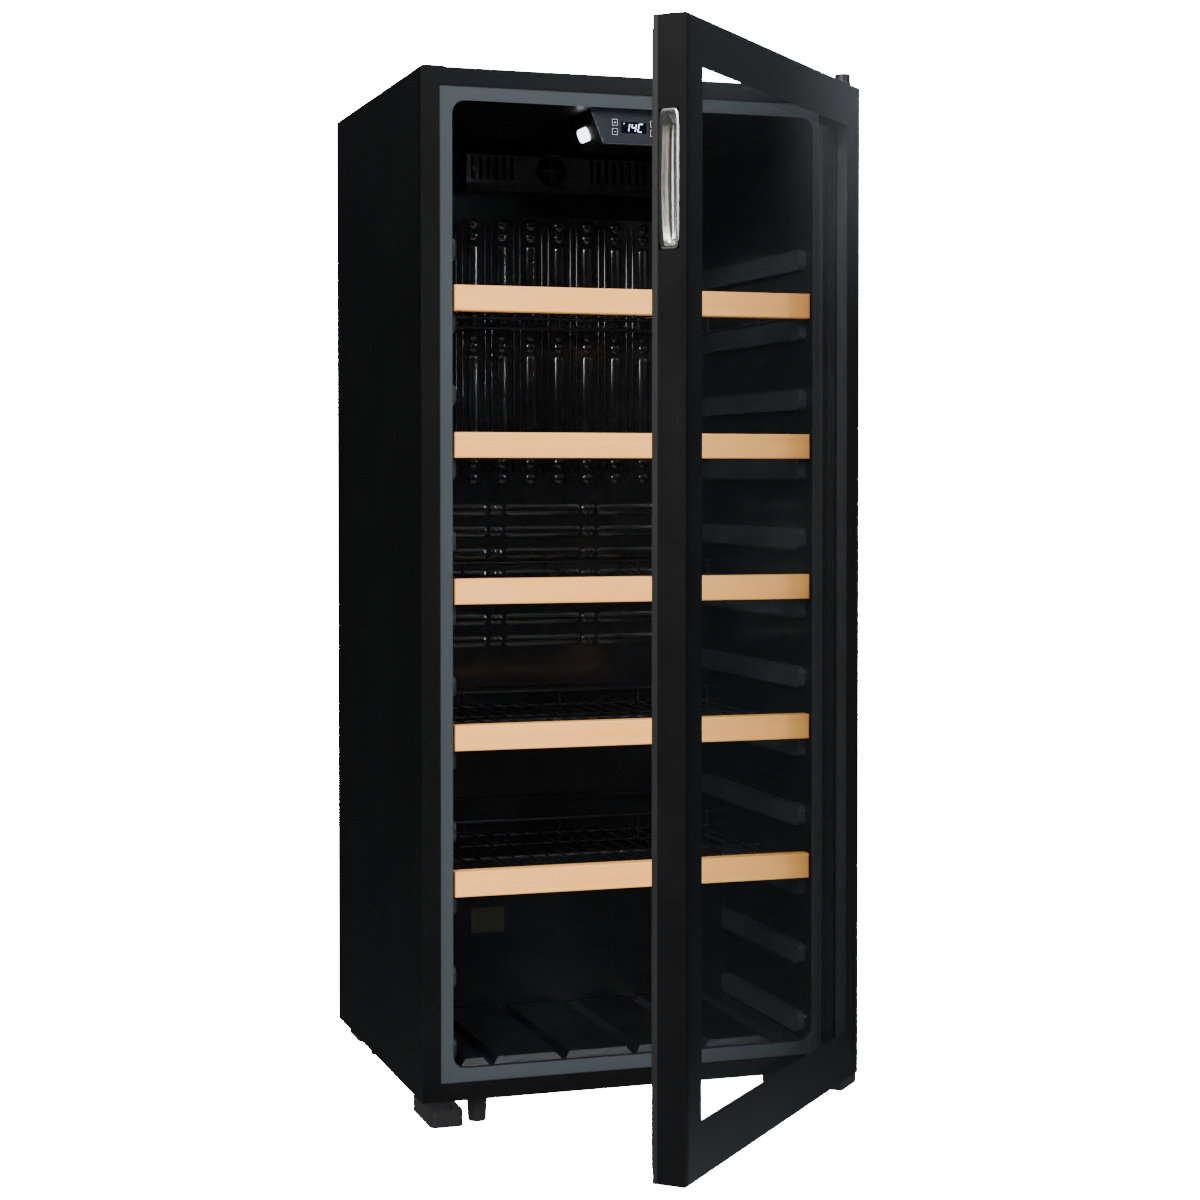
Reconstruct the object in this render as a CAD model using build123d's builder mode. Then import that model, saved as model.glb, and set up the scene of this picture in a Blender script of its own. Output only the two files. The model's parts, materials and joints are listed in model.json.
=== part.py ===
from build123d import *
import os
from math import cos, radians, sin

os.makedirs("parts", exist_ok=True)

# ---------------------------------------------------------------- driving dimensions, mm
cabinet_width = 595.0
cabinet_depth = 525.0  # side panels only, without the door
body_height = 1353.0
floor_gap = 38.0  # from the floor to the underside of the body
sheet = 1.0  # outer steel
trim_width = 25.0  # folded front return of the outer panels
flange_width = 17.0  # satin ring of the liner, inside the trim
liner_wall = 2.5
cavity_depth = 440.0
cavity_corner = 18.0
step_setback = 320.0  # from the front plane to the compressor step
step_height = 220.0  # above the cavity's sill
foam_over_bay = 38.0
rear_recess = 27.0  # room for the condenser behind the rear panel

shelf_count = 5
shelf_pitch = 192.5
top_shelf_drop = 273.5  # from the ceiling to the underside of the top wooden front
shelf_front_height = 33.5
shelf_front_thickness = 20.0
shelf_setback = 3.0
shelf_side_clearance = 4.0
grid_clearance = 2.5  # between the grid and each side wall
wire = 3.0  # diameter of the depth wires
rod = 6.0  # diameter of the side rods
cross_rod = 5.0
post = 4.4
weld = 0.5  # how far two welded wires sink into each other
wire_pitch = 25.0
wire_rise = 22.0  # axis of the depth wires above the underside of the wooden front
stop_rise = 40.0  # axis of the rear stop bar above it

rail_count = 12
rail_height = 28.0
rail_reach = 11.0  # how far a rail stands out of the side wall
rail_corner = 9.0
pad_height = 8.0  # the raised flats of the cavity's floor
pad_groove = 6.0  # width of the bottom of the valleys between them
pad_slope = 42.0  # degrees from upright
pad_pitch = 100.0
pad_inset = 14.0
pad_skirt = 10.0
gutter_height = 72.0  # the drain gutter on the rear wall, above the compressor step
gutter_inset = 20.0
gutter_reach = 9.0
gutter_thickness = 3.0

door_thickness = 45.0
door_gap = 8.0
door_ground_clearance = 3.0  # above the underside of the body
door_top_clearance = 5.0  # below the top of the body
door_rest_angle = 46.3  # how far the door stands open
side_border = 48.5
top_border = 56.0
bottom_border = 67.0
rear_border = 37.0  # top and bottom bars of the frame behind the printed border
glass = 4.0
print_layer = 0.4
spacer_depth = 14.0
spacer_width = 8.0
profile_wall = 2.5
rear_trim_thickness = 6.0
gasket_inset = 12.0
gasket_width = 18.0
gasket_relief = 0.5  # left between the closed gasket and the trim
hinge_inset = 13.0  # pin axis from the side of the door
hinge_setback = 24.3  # pin axis behind the outer face of the door
pin_radius = 4.0
running_clearance = 0.05
fit_gap = 0.3

handle_height = 160.0
handle_width = 25.0
handle_depth = 20.0
handle_low = 1118.0 - floor_gap  # above the underside of the body
handle_face_setback = 12.5

foot_inset = 85.0
foot_setback = 42.0
foot_radius = 14.0
foot_height = 34.0
stud_radius = 4.0

plate_side_inset = 70.0  # the evaporator plate, from the outside of the cabinet
plate_rise = 235.0  # above the compressor step
plate_drop = 100.0  # below the ceiling
plate_thickness = 1.5
plate_standoff = 6.0
channel_height = 2.0
channel_columns = 10
channel_column_width = 15.0
channel_pitch = 44.8
channel_rows = 6
channel_row_width = 18.0
channel_row_pitch = 46.0
upper_share = 0.56  # of the plate's height, with upright channels

duct_left_inset = 166.0
duct_right_inset = 86.0
duct_height = 64.0
duct_drop = 2.0  # below the ceiling
duct_reach = 48.0
duct_wall = 2.0
duct_nose = 12.0
vent_count = 8  # on each side of the fan
vent_length = 34.0
vent_width = 5.0
vent_pitch = 12.0
vent_start = 62.0
fan_radius = 27.0
hub_radius = 9.0
hub_depth = 12.0
blade_count = 7
blade_chord = 11.0
blade_pitch = 35.0  # degrees
shroud_depth = 26.0
shaft_radius = 1.5

panel_top_width = 124.0
panel_bottom_width = 88.0
panel_height = 46.0
panel_depth = 92.0
panel_setback = 16.0
panel_corner = 7.0
fascia_thickness = 3.0
housing_wall = 2.0
display_width = 36.0
display_height = 15.0
key_width = 9.6
key_height = 10.6
key_reach = 27.0
key_split = 12.4
lens_length = 44.0
lens_height = 19.0
lens_corner = 8.0
lens_bulge = 1.6
lens_setback = 56.0  # of the lens centre, behind the housing's front
lens_drop = 27.0  # of the lens centre, below the ceiling

pump_offset = 60.0  # the compressor, right of the cabinet's middle
pump_height = 140.0
pump_half_width = 92.0
pump_half_depth = 62.0
pump_crown = 34.0
seam_rise = 62.0
seam_reach = 4.0
seam_height = 7.0
mount_height = 12.0
mount_radius = 10.0
mount_spread_x = 75.0
mount_spread_y = 52.0
tray_length = 150.0
tray_width = 100.0
tray_height = 24.0
drier_radius = 9.0
drier_length = 80.0
capillary_radius = 3.2
tube_radius = 3.0
wire_radius = 0.9
wire_spacing = 17.0
wire_count = 24
run_pitch = 70.0
run_count = 14
condenser_inset = 60.0

boss_radius = 9.0
boss_height = 16.0
bracket = 3.0
bush_radius = 7.0
bush_reach_top = 24.0
bush_reach_low = 22.0
lower_block = 12.0
lower_block_length = 61.0
lower_bracket = 4.0
lower_pin_radius = 5.0
screw_head = 4.0

# ---------------------------------------------------------------- places worked out from them
door_closed_front = door_gap + door_thickness
swing_side = (
    hinge_inset * cos(radians(door_rest_angle))
    + hinge_setback * sin(radians(door_rest_angle))
    - hinge_inset
)
swing_front = (
    door_closed_front
    - hinge_setback
    + (cabinet_width - hinge_inset) * sin(radians(door_rest_angle))
    + hinge_setback * cos(radians(door_rest_angle))
)
left = -(cabinet_width + swing_side) / 2
right = left + cabinet_width
middle = left + cabinet_width / 2
front = (swing_front - cabinet_depth) / 2
back = front + cabinet_depth
bottom = floor_gap
top = bottom + body_height

opening_inset = trim_width + flange_width
cavity_left = left + opening_inset
cavity_right = right - opening_inset
cavity_width = cavity_right - cavity_left
sill = bottom + opening_inset
ceiling = top - opening_inset
cavity_height = ceiling - sill
cavity_back = front + cavity_depth
step_front = front + step_setback
step_top = sill + step_height
rear_panel_back = back - rear_recess
bay_front = step_front + liner_wall + foam_over_bay
bay_top = step_top - liner_wall - foam_over_bay

hinge_x = right - hinge_inset
hinge_y = front - door_closed_front + hinge_setback
door_bottom = bottom + door_ground_clearance
door_top = top - door_top_clearance
door_height = door_top - door_bottom
window_bottom = door_bottom + bottom_border
window_top = door_top - top_border

grid_rise = rod / 2 + fit_gap
# Underside of each wooden front, from the top shelf down.
shelf_base = [ceiling - top_shelf_drop - shelf_pitch * level for level in range(shelf_count)]
rail_pitch = shelf_pitch / 2
rail_tops = [shelf_base[0] + rail_pitch * (1 - level) for level in range(rail_count)]
gutter_z = step_top + gutter_height


# ---------------------------------------------------------------- helpers
def facing(y):
    """A plane across the cabinet at depth y: local x is +X, local y is +Z, and it looks to the front."""
    return Plane(origin=(0, y, 0), x_dir=(1, 0, 0), z_dir=(0, -1, 0))


def sideways(x):
    """A plane along the cabinet's side: local x is +Y, local y is +Z, and it looks to +X."""
    return Plane(origin=(x, 0, 0), x_dir=(0, 1, 0), z_dir=(1, 0, 0))


def door_face(depth):
    """A plane behind the door's outer face: local x runs from the pin to the free edge, local y is +Z."""
    turn = radians(door_rest_angle)
    reach = depth - hinge_setback
    return Plane(
        origin=(hinge_x - reach * sin(turn), hinge_y + reach * cos(turn), 0),
        x_dir=(-cos(turn), -sin(turn), 0),
        z_dir=(-sin(turn), cos(turn), 0),
    )


def door_level(z):
    """A horizontal plane at height z: local x runs to the free edge, local y to the door's outer face."""
    turn = radians(door_rest_angle)
    return Plane(origin=(hinge_x, hinge_y, z), x_dir=(-cos(turn), -sin(turn), 0), z_dir=(0, 0, 1))


def block(low, high, mode=Mode.ADD):
    """A box between two corners."""
    size = [b - a for a, b in zip(low, high)]
    centre = [(a + b) / 2 for a, b in zip(low, high)]
    with Locations(tuple(centre)):
        Box(*size, mode=mode)


def save(builder, name):
    builder.part.label = name
    export_step(builder.part, f"parts/{name}.step")


# ---------------------------------------------------------------- outer casing
def side_panel(edge, inward, name):
    """A side sheet with its front return folded in, cut to a mitre at each end."""
    with BuildPart() as panel:
        block(
            (min(edge, edge + inward * sheet), front, bottom),
            (max(edge, edge + inward * sheet), back, top),
        )
        with BuildSketch(facing(front)) as fold:
            with BuildLine():
                Polyline(
                    (edge, bottom),
                    (edge, top),
                    (edge + inward * sheet, top),
                    (edge + inward * trim_width, top - trim_width + sheet),
                    (edge + inward * trim_width, bottom + trim_width - sheet),
                    (edge + inward * sheet, bottom),
                    close=True,
                )
            make_face()
        extrude(fold.sketch, amount=-sheet)
    save(panel, name)


def level_panel(edge, inward, name, cutters=()):
    """The top or bottom sheet with its mitred front return, between the side panels."""
    with BuildPart() as panel:
        block(
            (left + sheet, front + sheet, min(edge, edge + inward * sheet)),
            (right - sheet, back, max(edge, edge + inward * sheet)),
        )
        with BuildSketch(facing(front)) as fold:
            with BuildLine():
                Polyline(
                    (left + sheet, edge),
                    (right - sheet, edge),
                    (right - trim_width, edge + inward * (trim_width - sheet)),
                    (left + trim_width, edge + inward * (trim_width - sheet)),
                    close=True,
                )
            make_face()
        extrude(fold.sketch, amount=-sheet)
        for centre in cutters:
            with Locations((*centre, edge + inward * boss_height / 2)):
                Cylinder(boss_radius, boss_height)
        for centre in cutters:
            with Locations((*centre, edge + inward * boss_height / 2)):
                Cylinder(stud_radius + running_clearance, boss_height, mode=Mode.SUBTRACT)
    save(panel, name)


front_feet = [(left + foot_inset, front + foot_setback), (right - foot_inset, front + foot_setback)]

side_panel(left, 1, "left_side_panel")
side_panel(right, -1, "right_side_panel")
level_panel(top, -1, "top_panel")
level_panel(bottom, 1, "base_plate", front_feet)

with BuildPart() as rear_panel:
    with BuildSketch(sideways(left + sheet)):
        with BuildLine():
            Polyline(
                (rear_panel_back - sheet, top - sheet),
                (rear_panel_back, top - sheet),
                (rear_panel_back, bay_top - sheet),
                (bay_front + sheet, bay_top - sheet),
                (bay_front + sheet, bottom + sheet),
                (bay_front, bottom + sheet),
                (bay_front, bay_top),
                (rear_panel_back - sheet, bay_top),
                close=True,
            )
        make_face()
    extrude(amount=cabinet_width - 2 * sheet)
save(rear_panel, "rear_panel")

# ---------------------------------------------------------------- liner and insulation
flange_face = front + sheet
with BuildPart() as liner_envelope:
    with BuildSketch(facing(flange_face)):
        with Locations((middle, (sill + ceiling) / 2)):
            RectangleRounded(
                cavity_width + 2 * liner_wall,
                cavity_height + 2 * liner_wall,
                cavity_corner + liner_wall,
            )
    extrude(amount=-(cavity_depth - sheet + liner_wall))
    block(
        (cavity_left - 2 * liner_wall, step_front + liner_wall, sill - 2 * liner_wall),
        (cavity_right + 2 * liner_wall, cavity_back + 2 * liner_wall, step_top - liner_wall),
        mode=Mode.SUBTRACT,
    )

with BuildPart() as cavity:
    with BuildSketch(facing(front - 1)):
        with Locations((middle, (sill + ceiling) / 2)):
            RectangleRounded(cavity_width, cavity_height, cavity_corner)
    extrude(amount=-(cavity_depth + 1))
    block(
        (cavity_left - 1, step_front, sill - 1),
        (cavity_right + 1, cavity_back + 1, step_top),
        mode=Mode.SUBTRACT,
    )

rail_front = front + shelf_setback + shelf_front_thickness + 4.0
rail_back = front + 405.0
pad_front = front + 12.0
with BuildPart() as liner:
    with BuildSketch(facing(flange_face)):
        with Locations((middle, (bottom + top) / 2)):
            Rectangle(cabinet_width - 2 * sheet, body_height - 2 * sheet)
    extrude(amount=-liner_wall)
    add(liner_envelope.part)
    add(cavity.part, mode=Mode.SUBTRACT)
    with BuildSketch(Plane.XY.offset(sill)) as pads:
        for index in range(6):
            low = max(cavity_left + pad_inset, left - 2.5 + pad_pitch * index + pad_groove / 2)
            high = min(cavity_right - pad_inset, left - 2.5 + pad_pitch * (index + 1) - pad_groove / 2)
            with Locations(((low + high) / 2, (pad_front + step_front) / 2)):
                Rectangle(high - low, step_front - pad_front)
    extrude(pads.sketch, amount=pad_height, taper=pad_slope)
    block(
        (cavity_left + cavity_corner, step_front - pad_skirt, sill),
        (cavity_right - cavity_corner, step_front, sill + pad_height / 2),
    )
    block(
        (cavity_left + gutter_inset, cavity_back - gutter_reach, gutter_z - gutter_thickness),
        (cavity_right - gutter_inset, cavity_back, gutter_z),
    )
    block(
        (cavity_left + gutter_inset, cavity_back - gutter_reach, gutter_z),
        (cavity_right - gutter_inset, cavity_back - gutter_reach + 1.5, gutter_z + 3),
    )
save(liner, "liner")

with BuildPart() as rails:
    for wall, inward in ((cavity_left, 1), (cavity_right, -1)):
        with BuildSketch(sideways(wall)) as rail_profiles:
            for rail_top in rail_tops:
                rail_end = rail_back if rail_top - rail_height > step_top else step_front
                with Locations(((rail_front + rail_end) / 2, rail_top - rail_height / 2)):
                    RectangleRounded(rail_end - rail_front, rail_height, rail_corner)
        extrude(rail_profiles.sketch, amount=inward * rail_reach)
    add(cavity.part, mode=Mode.INTERSECT)
save(rails, "shelf_rails")

foam_front = flange_face + liner_wall
with BuildPart() as insulation:
    block(
        (left + sheet, foam_front, bottom + sheet),
        (right - sheet, rear_panel_back - sheet, top - sheet),
    )
    add(liner_envelope.part, mode=Mode.SUBTRACT)
    block(
        (left, bay_front, bottom),
        (right, back, bay_top),
        mode=Mode.SUBTRACT,
    )
    for centre in front_feet:
        with Locations((*centre, bottom + boss_height / 2)):
            Cylinder(boss_radius, boss_height + 6, mode=Mode.SUBTRACT)
save(insulation, "insulation_foam")

# ---------------------------------------------------------------- evaporator
plate_left = left + plate_side_inset
plate_right = right - plate_side_inset
plate_low = step_top + plate_rise
plate_high = ceiling - plate_drop
plate_back = cavity_back - plate_standoff
with BuildPart() as evaporator:
    block((plate_left, plate_back - plate_thickness, plate_low), (plate_right, plate_back, plate_high))
    with BuildSketch(facing(plate_back - plate_thickness)) as channels:
        upper_low = plate_high - upper_share * (plate_high - plate_low)
        for column in range(channel_columns):
            column_x = plate_left + 26 + channel_pitch * column
            with Locations((column_x, (upper_low + plate_high) / 2)):
                SlotOverall(plate_high - upper_low - 24, channel_column_width, rotation=90)
        for row in range(channel_rows):
            row_z = plate_low + 28 + channel_row_pitch * row
            for centre_x, length in ((middle - 100, 180), (middle + 105, 170)):
                with Locations((centre_x, row_z)):
                    SlotOverall(length, channel_row_width)
    extrude(channels.sketch, amount=channel_height)
    with Locations(*[(x, plate_back + plate_standoff / 2, z)
                     for x in (plate_left + 12, plate_right - 12)
                     for z in (plate_low + 12, plate_high - 12)]):
        Cylinder(5, plate_standoff, rotation=(90, 0, 0))
save(evaporator, "evaporator_plate")

with BuildPart() as probe:
    probe_z = plate_low - 40
    block(
        (plate_right - 12, cavity_back - 6, probe_z - 10),
        (plate_right + 8, cavity_back, probe_z + 10),
    )
    with Locations((plate_right - 2, cavity_back - 9, probe_z)):
        Cylinder(4, 34)
save(probe, "temperature_probe")

# ---------------------------------------------------------------- air duct and fan
duct_left = left + duct_left_inset
duct_right = right - duct_right_inset
duct_high = ceiling - duct_drop
duct_low = duct_high - duct_height
duct_front = cavity_back - duct_reach
fan_z = (duct_low + duct_high) / 2
with BuildPart() as duct:
    with BuildSketch(sideways(duct_left)):
        with BuildLine():
            Polyline(
                (cavity_back, duct_low),
                (cavity_back, duct_high),
                (duct_front + duct_nose, duct_high),
                (duct_front, duct_high - duct_nose),
                (duct_front, duct_low + 10),
                (duct_front + 10, duct_low),
                close=True,
            )
        make_face()
    extrude(amount=duct_right - duct_left)
    block(
        (duct_left + duct_wall, duct_front + duct_wall + 8, duct_low + duct_wall),
        (duct_right - duct_wall, cavity_back + 1, duct_high - duct_wall),
        mode=Mode.SUBTRACT,
    )
    with Locations((middle, duct_front + 5, fan_z)):
        Cylinder(fan_radius - 2, 14, rotation=(90, 0, 0), mode=Mode.SUBTRACT)
    for ring_radius in (hub_radius, 2 * hub_radius - 1, fan_radius - 2):
        with Locations((middle, duct_front + 5, fan_z)):
            Cylinder(ring_radius, 3, rotation=(90, 0, 0))
            Cylinder(ring_radius - 2, 3, rotation=(90, 0, 0), mode=Mode.SUBTRACT)
    with Locations((middle, duct_front + 5, fan_z)):
        Cylinder(hub_radius / 2 - 0.5, 3, rotation=(90, 0, 0))
    for angle in (0, 90):
        with Locations((middle, duct_front + 5, fan_z)):
            Box(2 * fan_radius - 3, 3, 2, rotation=(0, angle, 0))
    with BuildSketch(facing(duct_front - 1)) as vents:
        for side in (-1, 1):
            for slot in range(vent_count):
                with Locations((middle + side * (vent_start + vent_pitch * slot), fan_z)):
                    SlotOverall(vent_length, vent_width, rotation=90)
    extrude(vents.sketch, amount=-14, mode=Mode.SUBTRACT)
save(duct, "air_duct_cover")

shroud_front = duct_front + duct_wall + 8.5
motor_back = shroud_front + shroud_depth - 3
with BuildPart() as shroud:
    block(
        (middle - fan_radius - 5, shroud_front, duct_low + duct_wall + fit_gap),
        (middle + fan_radius + 5, shroud_front + shroud_depth, duct_high - duct_wall - fit_gap),
    )
    with Locations((middle, shroud_front + shroud_depth / 2, fan_z)):
        Cylinder(fan_radius, shroud_depth + 2, rotation=(90, 0, 0), mode=Mode.SUBTRACT)
    for angle in (45, 135):
        with Locations((middle, shroud_front + shroud_depth - 1.5, fan_z)):
            Box(2 * fan_radius + 4, 3, 4, rotation=(0, angle, 0))
    with Locations((middle, motor_back - 4, fan_z)):
        Cylinder(hub_radius, 8, rotation=(90, 0, 0))
    with Locations((middle, motor_back - 13, fan_z)):
        Cylinder(shaft_radius, 10, rotation=(90, 0, 0))
save(shroud, "fan_shroud")

with BuildPart() as impeller:
    hub_y = motor_back - 8 - 0.5 - hub_depth / 2
    with Locations((middle, hub_y, fan_z)):
        Cylinder(hub_radius, hub_depth, rotation=(90, 0, 0))
    with Locations((middle, hub_y + 1.5, fan_z)):
        Cylinder(shaft_radius + running_clearance, hub_depth, rotation=(90, 0, 0), mode=Mode.SUBTRACT)
    blade_root = hub_radius - 1
    blade_reach = fan_radius - 1.5
    for blade in range(blade_count):
        turn = 360 / blade_count * blade
        blade_plane = Plane(
            origin=(middle, hub_y, fan_z),
            x_dir=(cos(radians(turn)), 0, sin(radians(turn))),
            z_dir=(0, -1, 0),
        )
        with Locations(blade_plane * Location(((blade_root + blade_reach) / 2, 0, 0), (blade_pitch, 0, 0))):
            Box(blade_reach - blade_root, blade_chord, 1.4)
save(impeller, "fan_impeller")

# ---------------------------------------------------------------- controls
fascia_front = front + panel_setback
housing_front = fascia_front + fascia_thickness
key_z = ceiling - panel_height / 2


def panel_outline(inset):
    """The tapered outline of the control panel, in the XZ plane."""
    top_half = panel_top_width / 2 - inset
    low_half = panel_bottom_width / 2 - inset
    return (
        (middle - top_half, ceiling - inset),
        (middle + top_half, ceiling - inset),
        (middle + low_half, ceiling - panel_height + inset),
        (middle - low_half, ceiling - panel_height + inset),
    )


key_places = [
    (middle + side * key_reach, key_z + level * key_split / 2) for side in (-1, 1) for level in (-1, 1)
]

with BuildPart() as housing:
    with BuildSketch(facing(housing_front)) as outer:
        with BuildLine():
            Polyline(*panel_outline(0), close=True)
        make_face()
        fillet(outer.vertices().group_by(Axis.Y)[0], panel_corner)
    extrude(amount=-panel_depth)
    with BuildSketch(facing(housing_front)) as inner:
        with BuildLine():
            Polyline(*panel_outline(housing_wall), close=True)
        make_face()
    extrude(amount=-(panel_depth - housing_wall), mode=Mode.SUBTRACT)
save(housing, "control_housing")

with BuildPart() as fascia:
    with BuildSketch(facing(fascia_front)) as plate:
        with BuildLine():
            Polyline(*panel_outline(0), close=True)
        make_face()
        fillet(plate.vertices().group_by(Axis.Y)[0], panel_corner)
        with Locations((middle, key_z)):
            Rectangle(display_width, display_height, mode=Mode.SUBTRACT)
        with Locations(*key_places):
            Rectangle(key_width + 2 * fit_gap, key_height + 2 * fit_gap, mode=Mode.SUBTRACT)
    extrude(amount=-fascia_thickness)
save(fascia, "control_fascia")

with BuildPart() as display:
    block(
        (middle - display_width / 2, fascia_front + 0.4, key_z - display_height / 2),
        (middle + display_width / 2, housing_front, key_z + display_height / 2),
    )
    block(
        (middle - 34, housing_front + 5, key_z - 14),
        (middle + 34, housing_front + 6.6, key_z + 14),
    )
    block(
        (middle - 15, housing_front, key_z - 6.5),
        (middle + 15, housing_front + 5, key_z + 6.5),
    )
save(display, "display_module")

for index, (key_x, key_height_z) in enumerate(key_places):
    with BuildPart() as key:
        block(
            (key_x - key_width / 2, fascia_front - 0.4, key_height_z - key_height / 2),
            (key_x + key_width / 2, housing_front + 1.5, key_height_z + key_height / 2),
        )
        fillet(key.faces().sort_by(Axis.Y)[0].edges(), 0.3)
        with Locations((key_x, housing_front + 2.75, key_height_z)):
            Cylinder(1.5, 2.5, rotation=(90, 0, 0))
    save(key, f"control_key_{index + 1}")

lens_slope = (panel_top_width - panel_bottom_width) / 2 / panel_height
lens_low_slope = Plane(
    origin=(
        middle - panel_top_width / 2 + lens_slope * lens_drop,
        housing_front + lens_setback,
        ceiling - lens_drop,
    ),
    x_dir=(0, -1, 0),
    z_dir=(-1, 0, -lens_slope),
)
with BuildPart() as lenses:
    with BuildSketch(lens_low_slope):
        RectangleRounded(lens_length, lens_height, lens_corner)
    extrude(amount=lens_bulge, taper=30)
    mirror(about=Plane(origin=(middle, 0, 0), z_dir=(1, 0, 0)))
save(lenses, "lamp_lenses")

# ---------------------------------------------------------------- shelves
grid_left = cavity_left + grid_clearance
grid_right = cavity_right - grid_clearance
grid_front = front + shelf_setback + shelf_front_thickness
grid_back = front + 400.0


def cross_bar(y, z):
    """A rod across the grid."""
    with Locations(((grid_left + grid_right) / 2, y, z)):
        Cylinder(cross_rod / 2, grid_right - grid_left - 1, rotation=(0, 90, 0))


def upright(x, y, low, high):
    """A short post that carries the cross rods."""
    with Locations((x, y, (low + high) / 2)):
        Cylinder(post / 2, high - low)


for index, base in enumerate(shelf_base):
    level_name = f"shelf_{index + 1}"
    with BuildPart() as wooden_front:
        block(
            (cavity_left + shelf_side_clearance, front + shelf_setback, base),
            (cavity_right - shelf_side_clearance, grid_front, base + shelf_front_height),
        )
        fillet(wooden_front.faces().sort_by(Axis.Y)[0].edges(), 2)
    save(wooden_front, f"{level_name}_front")

    rod_z = base + grid_rise
    wire_z = base + wire_rise
    cross_z = wire_z - (cross_rod + wire) / 2 + weld
    stop_y = grid_back - rod
    sides = (grid_left + rod / 2, grid_right - rod / 2)
    with BuildPart() as grid:
        for side_x in sides:
            with Locations((side_x, (grid_front + grid_back) / 2, rod_z)):
                Cylinder(rod / 2, grid_back - grid_front, rotation=(90, 0, 0))
            for cross_y in (grid_front + 12, front + 190):
                upright(side_x, cross_y, rod_z, cross_z)
        for cross_y, cross_level in (
            (grid_front + 12, cross_z),
            (front + 190, cross_z),
            (stop_y, cross_z),
            (stop_y, rod_z),
            (stop_y, base + stop_rise),
        ):
            cross_bar(cross_y, cross_level)
        for post_x in (*sides, *(middle + (side + 0.5) * wire_pitch for side in (-6, 0, 5))):
            upright(post_x, stop_y, rod_z, base + stop_rise)
        wires = int((cavity_width - 30) / wire_pitch)
        for number in range(wires):
            wire_x = middle + (number - (wires - 1) / 2) * wire_pitch
            with Locations((wire_x, (grid_front + grid_back) / 2 - 1, wire_z)):
                Cylinder(wire / 2, grid_back - grid_front - 2, rotation=(90, 0, 0))
    save(grid, f"{level_name}_grid")

# ---------------------------------------------------------------- machine bay
bay_floor = bottom + sheet
pump_x = middle + pump_offset
pump_y = (bay_front + sheet + back) / 2 + 1
pump_low = bay_floor + mount_height + 4
mount_places = [
    (pump_x + i * mount_spread_x, pump_y + j * mount_spread_y) for i in (-1, 1) for j in (-1, 1)
]
with BuildPart() as compressor:
    with BuildSketch(Plane.XY.offset(pump_low)):
        with Locations((pump_x, pump_y)):
            Ellipse(pump_half_width, pump_half_depth)
    extrude(amount=pump_height)
    fillet(compressor.edges().filter_by(GeomType.ELLIPSE).sort_by(Axis.Z)[-1], pump_crown)
    with BuildSketch(Plane.XY.offset(pump_low + seam_rise)):
        with Locations((pump_x, pump_y)):
            Ellipse(pump_half_width + seam_reach, pump_half_depth + seam_reach)
    extrude(amount=seam_height)
    with BuildSketch(Plane.XY.offset(pump_low - 4)):
        for j in (-1, 1):
            with Locations((pump_x, pump_y + j * mount_spread_y)):
                RectangleRounded(2 * mount_spread_x + 30, 24, 9)
        with Locations((pump_x, pump_y)):
            Rectangle(100, 2 * mount_spread_y)
        with Locations(*mount_places):
            Circle(6, mode=Mode.SUBTRACT)
    extrude(amount=4)
save(compressor, "compressor")

with BuildPart() as mounts:
    with Locations(*[(x, y, bay_floor + mount_height / 2) for x, y in mount_places]):
        Cylinder(mount_radius, mount_height)
    with Locations(*[(x, y, pump_low - 1) for x, y in mount_places]):
        Cylinder(5.7, 6)
save(mounts, "compressor_mounts")

with BuildPart() as terminal_box:
    block(
        (pump_x + 97, pump_y - 26, pump_low + 20),
        (pump_x + 125, pump_y + 26, pump_low + 82),
    )
    fillet(terminal_box.edges().filter_by(Axis.Z), 5)
save(terminal_box, "compressor_terminal_box")

with BuildPart() as tray:
    with BuildSketch(Plane.XY.offset(pump_low + pump_height + fit_gap)):
        with Locations((pump_x, pump_y)):
            RectangleRounded(tray_length, tray_width, 12)
    extrude(amount=tray_height)
    offset(amount=-2, openings=tray.faces().sort_by(Axis.Z)[-1])
save(tray, "drip_tray")

with BuildPart() as drier:
    drier_x = left + 190
    drier_y = back - 40
    with Locations((drier_x, drier_y, bay_floor + 110)):
        Cylinder(drier_radius, drier_length)
    with Locations((drier_x, drier_y, bay_floor + 165)):
        Cone(drier_radius, capillary_radius, 30)
    with Locations((drier_x, drier_y, bay_floor + 63)):
        Cone(capillary_radius, drier_radius, 14)
save(drier, "filter_drier")

condenser_y = back - 12.5
condenser_left = left + condenser_inset
condenser_right = right - condenser_inset
condenser_low = bay_top + 60
turn_radius = run_pitch / 2 - 1
corners = [(condenser_right, condenser_y, bay_floor + 120)]
for run in range(run_count):
    run_z = condenser_low + run_pitch * run
    ends = (condenser_right, condenser_left) if run % 2 == 0 else (condenser_left, condenser_right)
    corners += [(x, condenser_y, run_z) for x in ends]
with BuildPart() as condenser:
    with BuildLine() as route:
        FilletPolyline(*corners, radius=turn_radius)
    with BuildSketch(Plane(origin=route.line @ 0, z_dir=route.line % 0)):
        Circle(tube_radius)
    sweep(path=route.line)
    wire_high = condenser_low + run_pitch * (run_count - 1) + 12
    for side in (-1, 1):
        wire_y = condenser_y + side * (tube_radius + wire_radius + 0.1)
        for number in range(wire_count):
            wire_x = middle + (number - (wire_count - 1) / 2) * wire_spacing
            with Locations((wire_x, wire_y, (condenser_low - 12 + wire_high) / 2)):
                Cylinder(wire_radius, wire_high - condenser_low + 12)
save(condenser, "condenser_coil")

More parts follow.
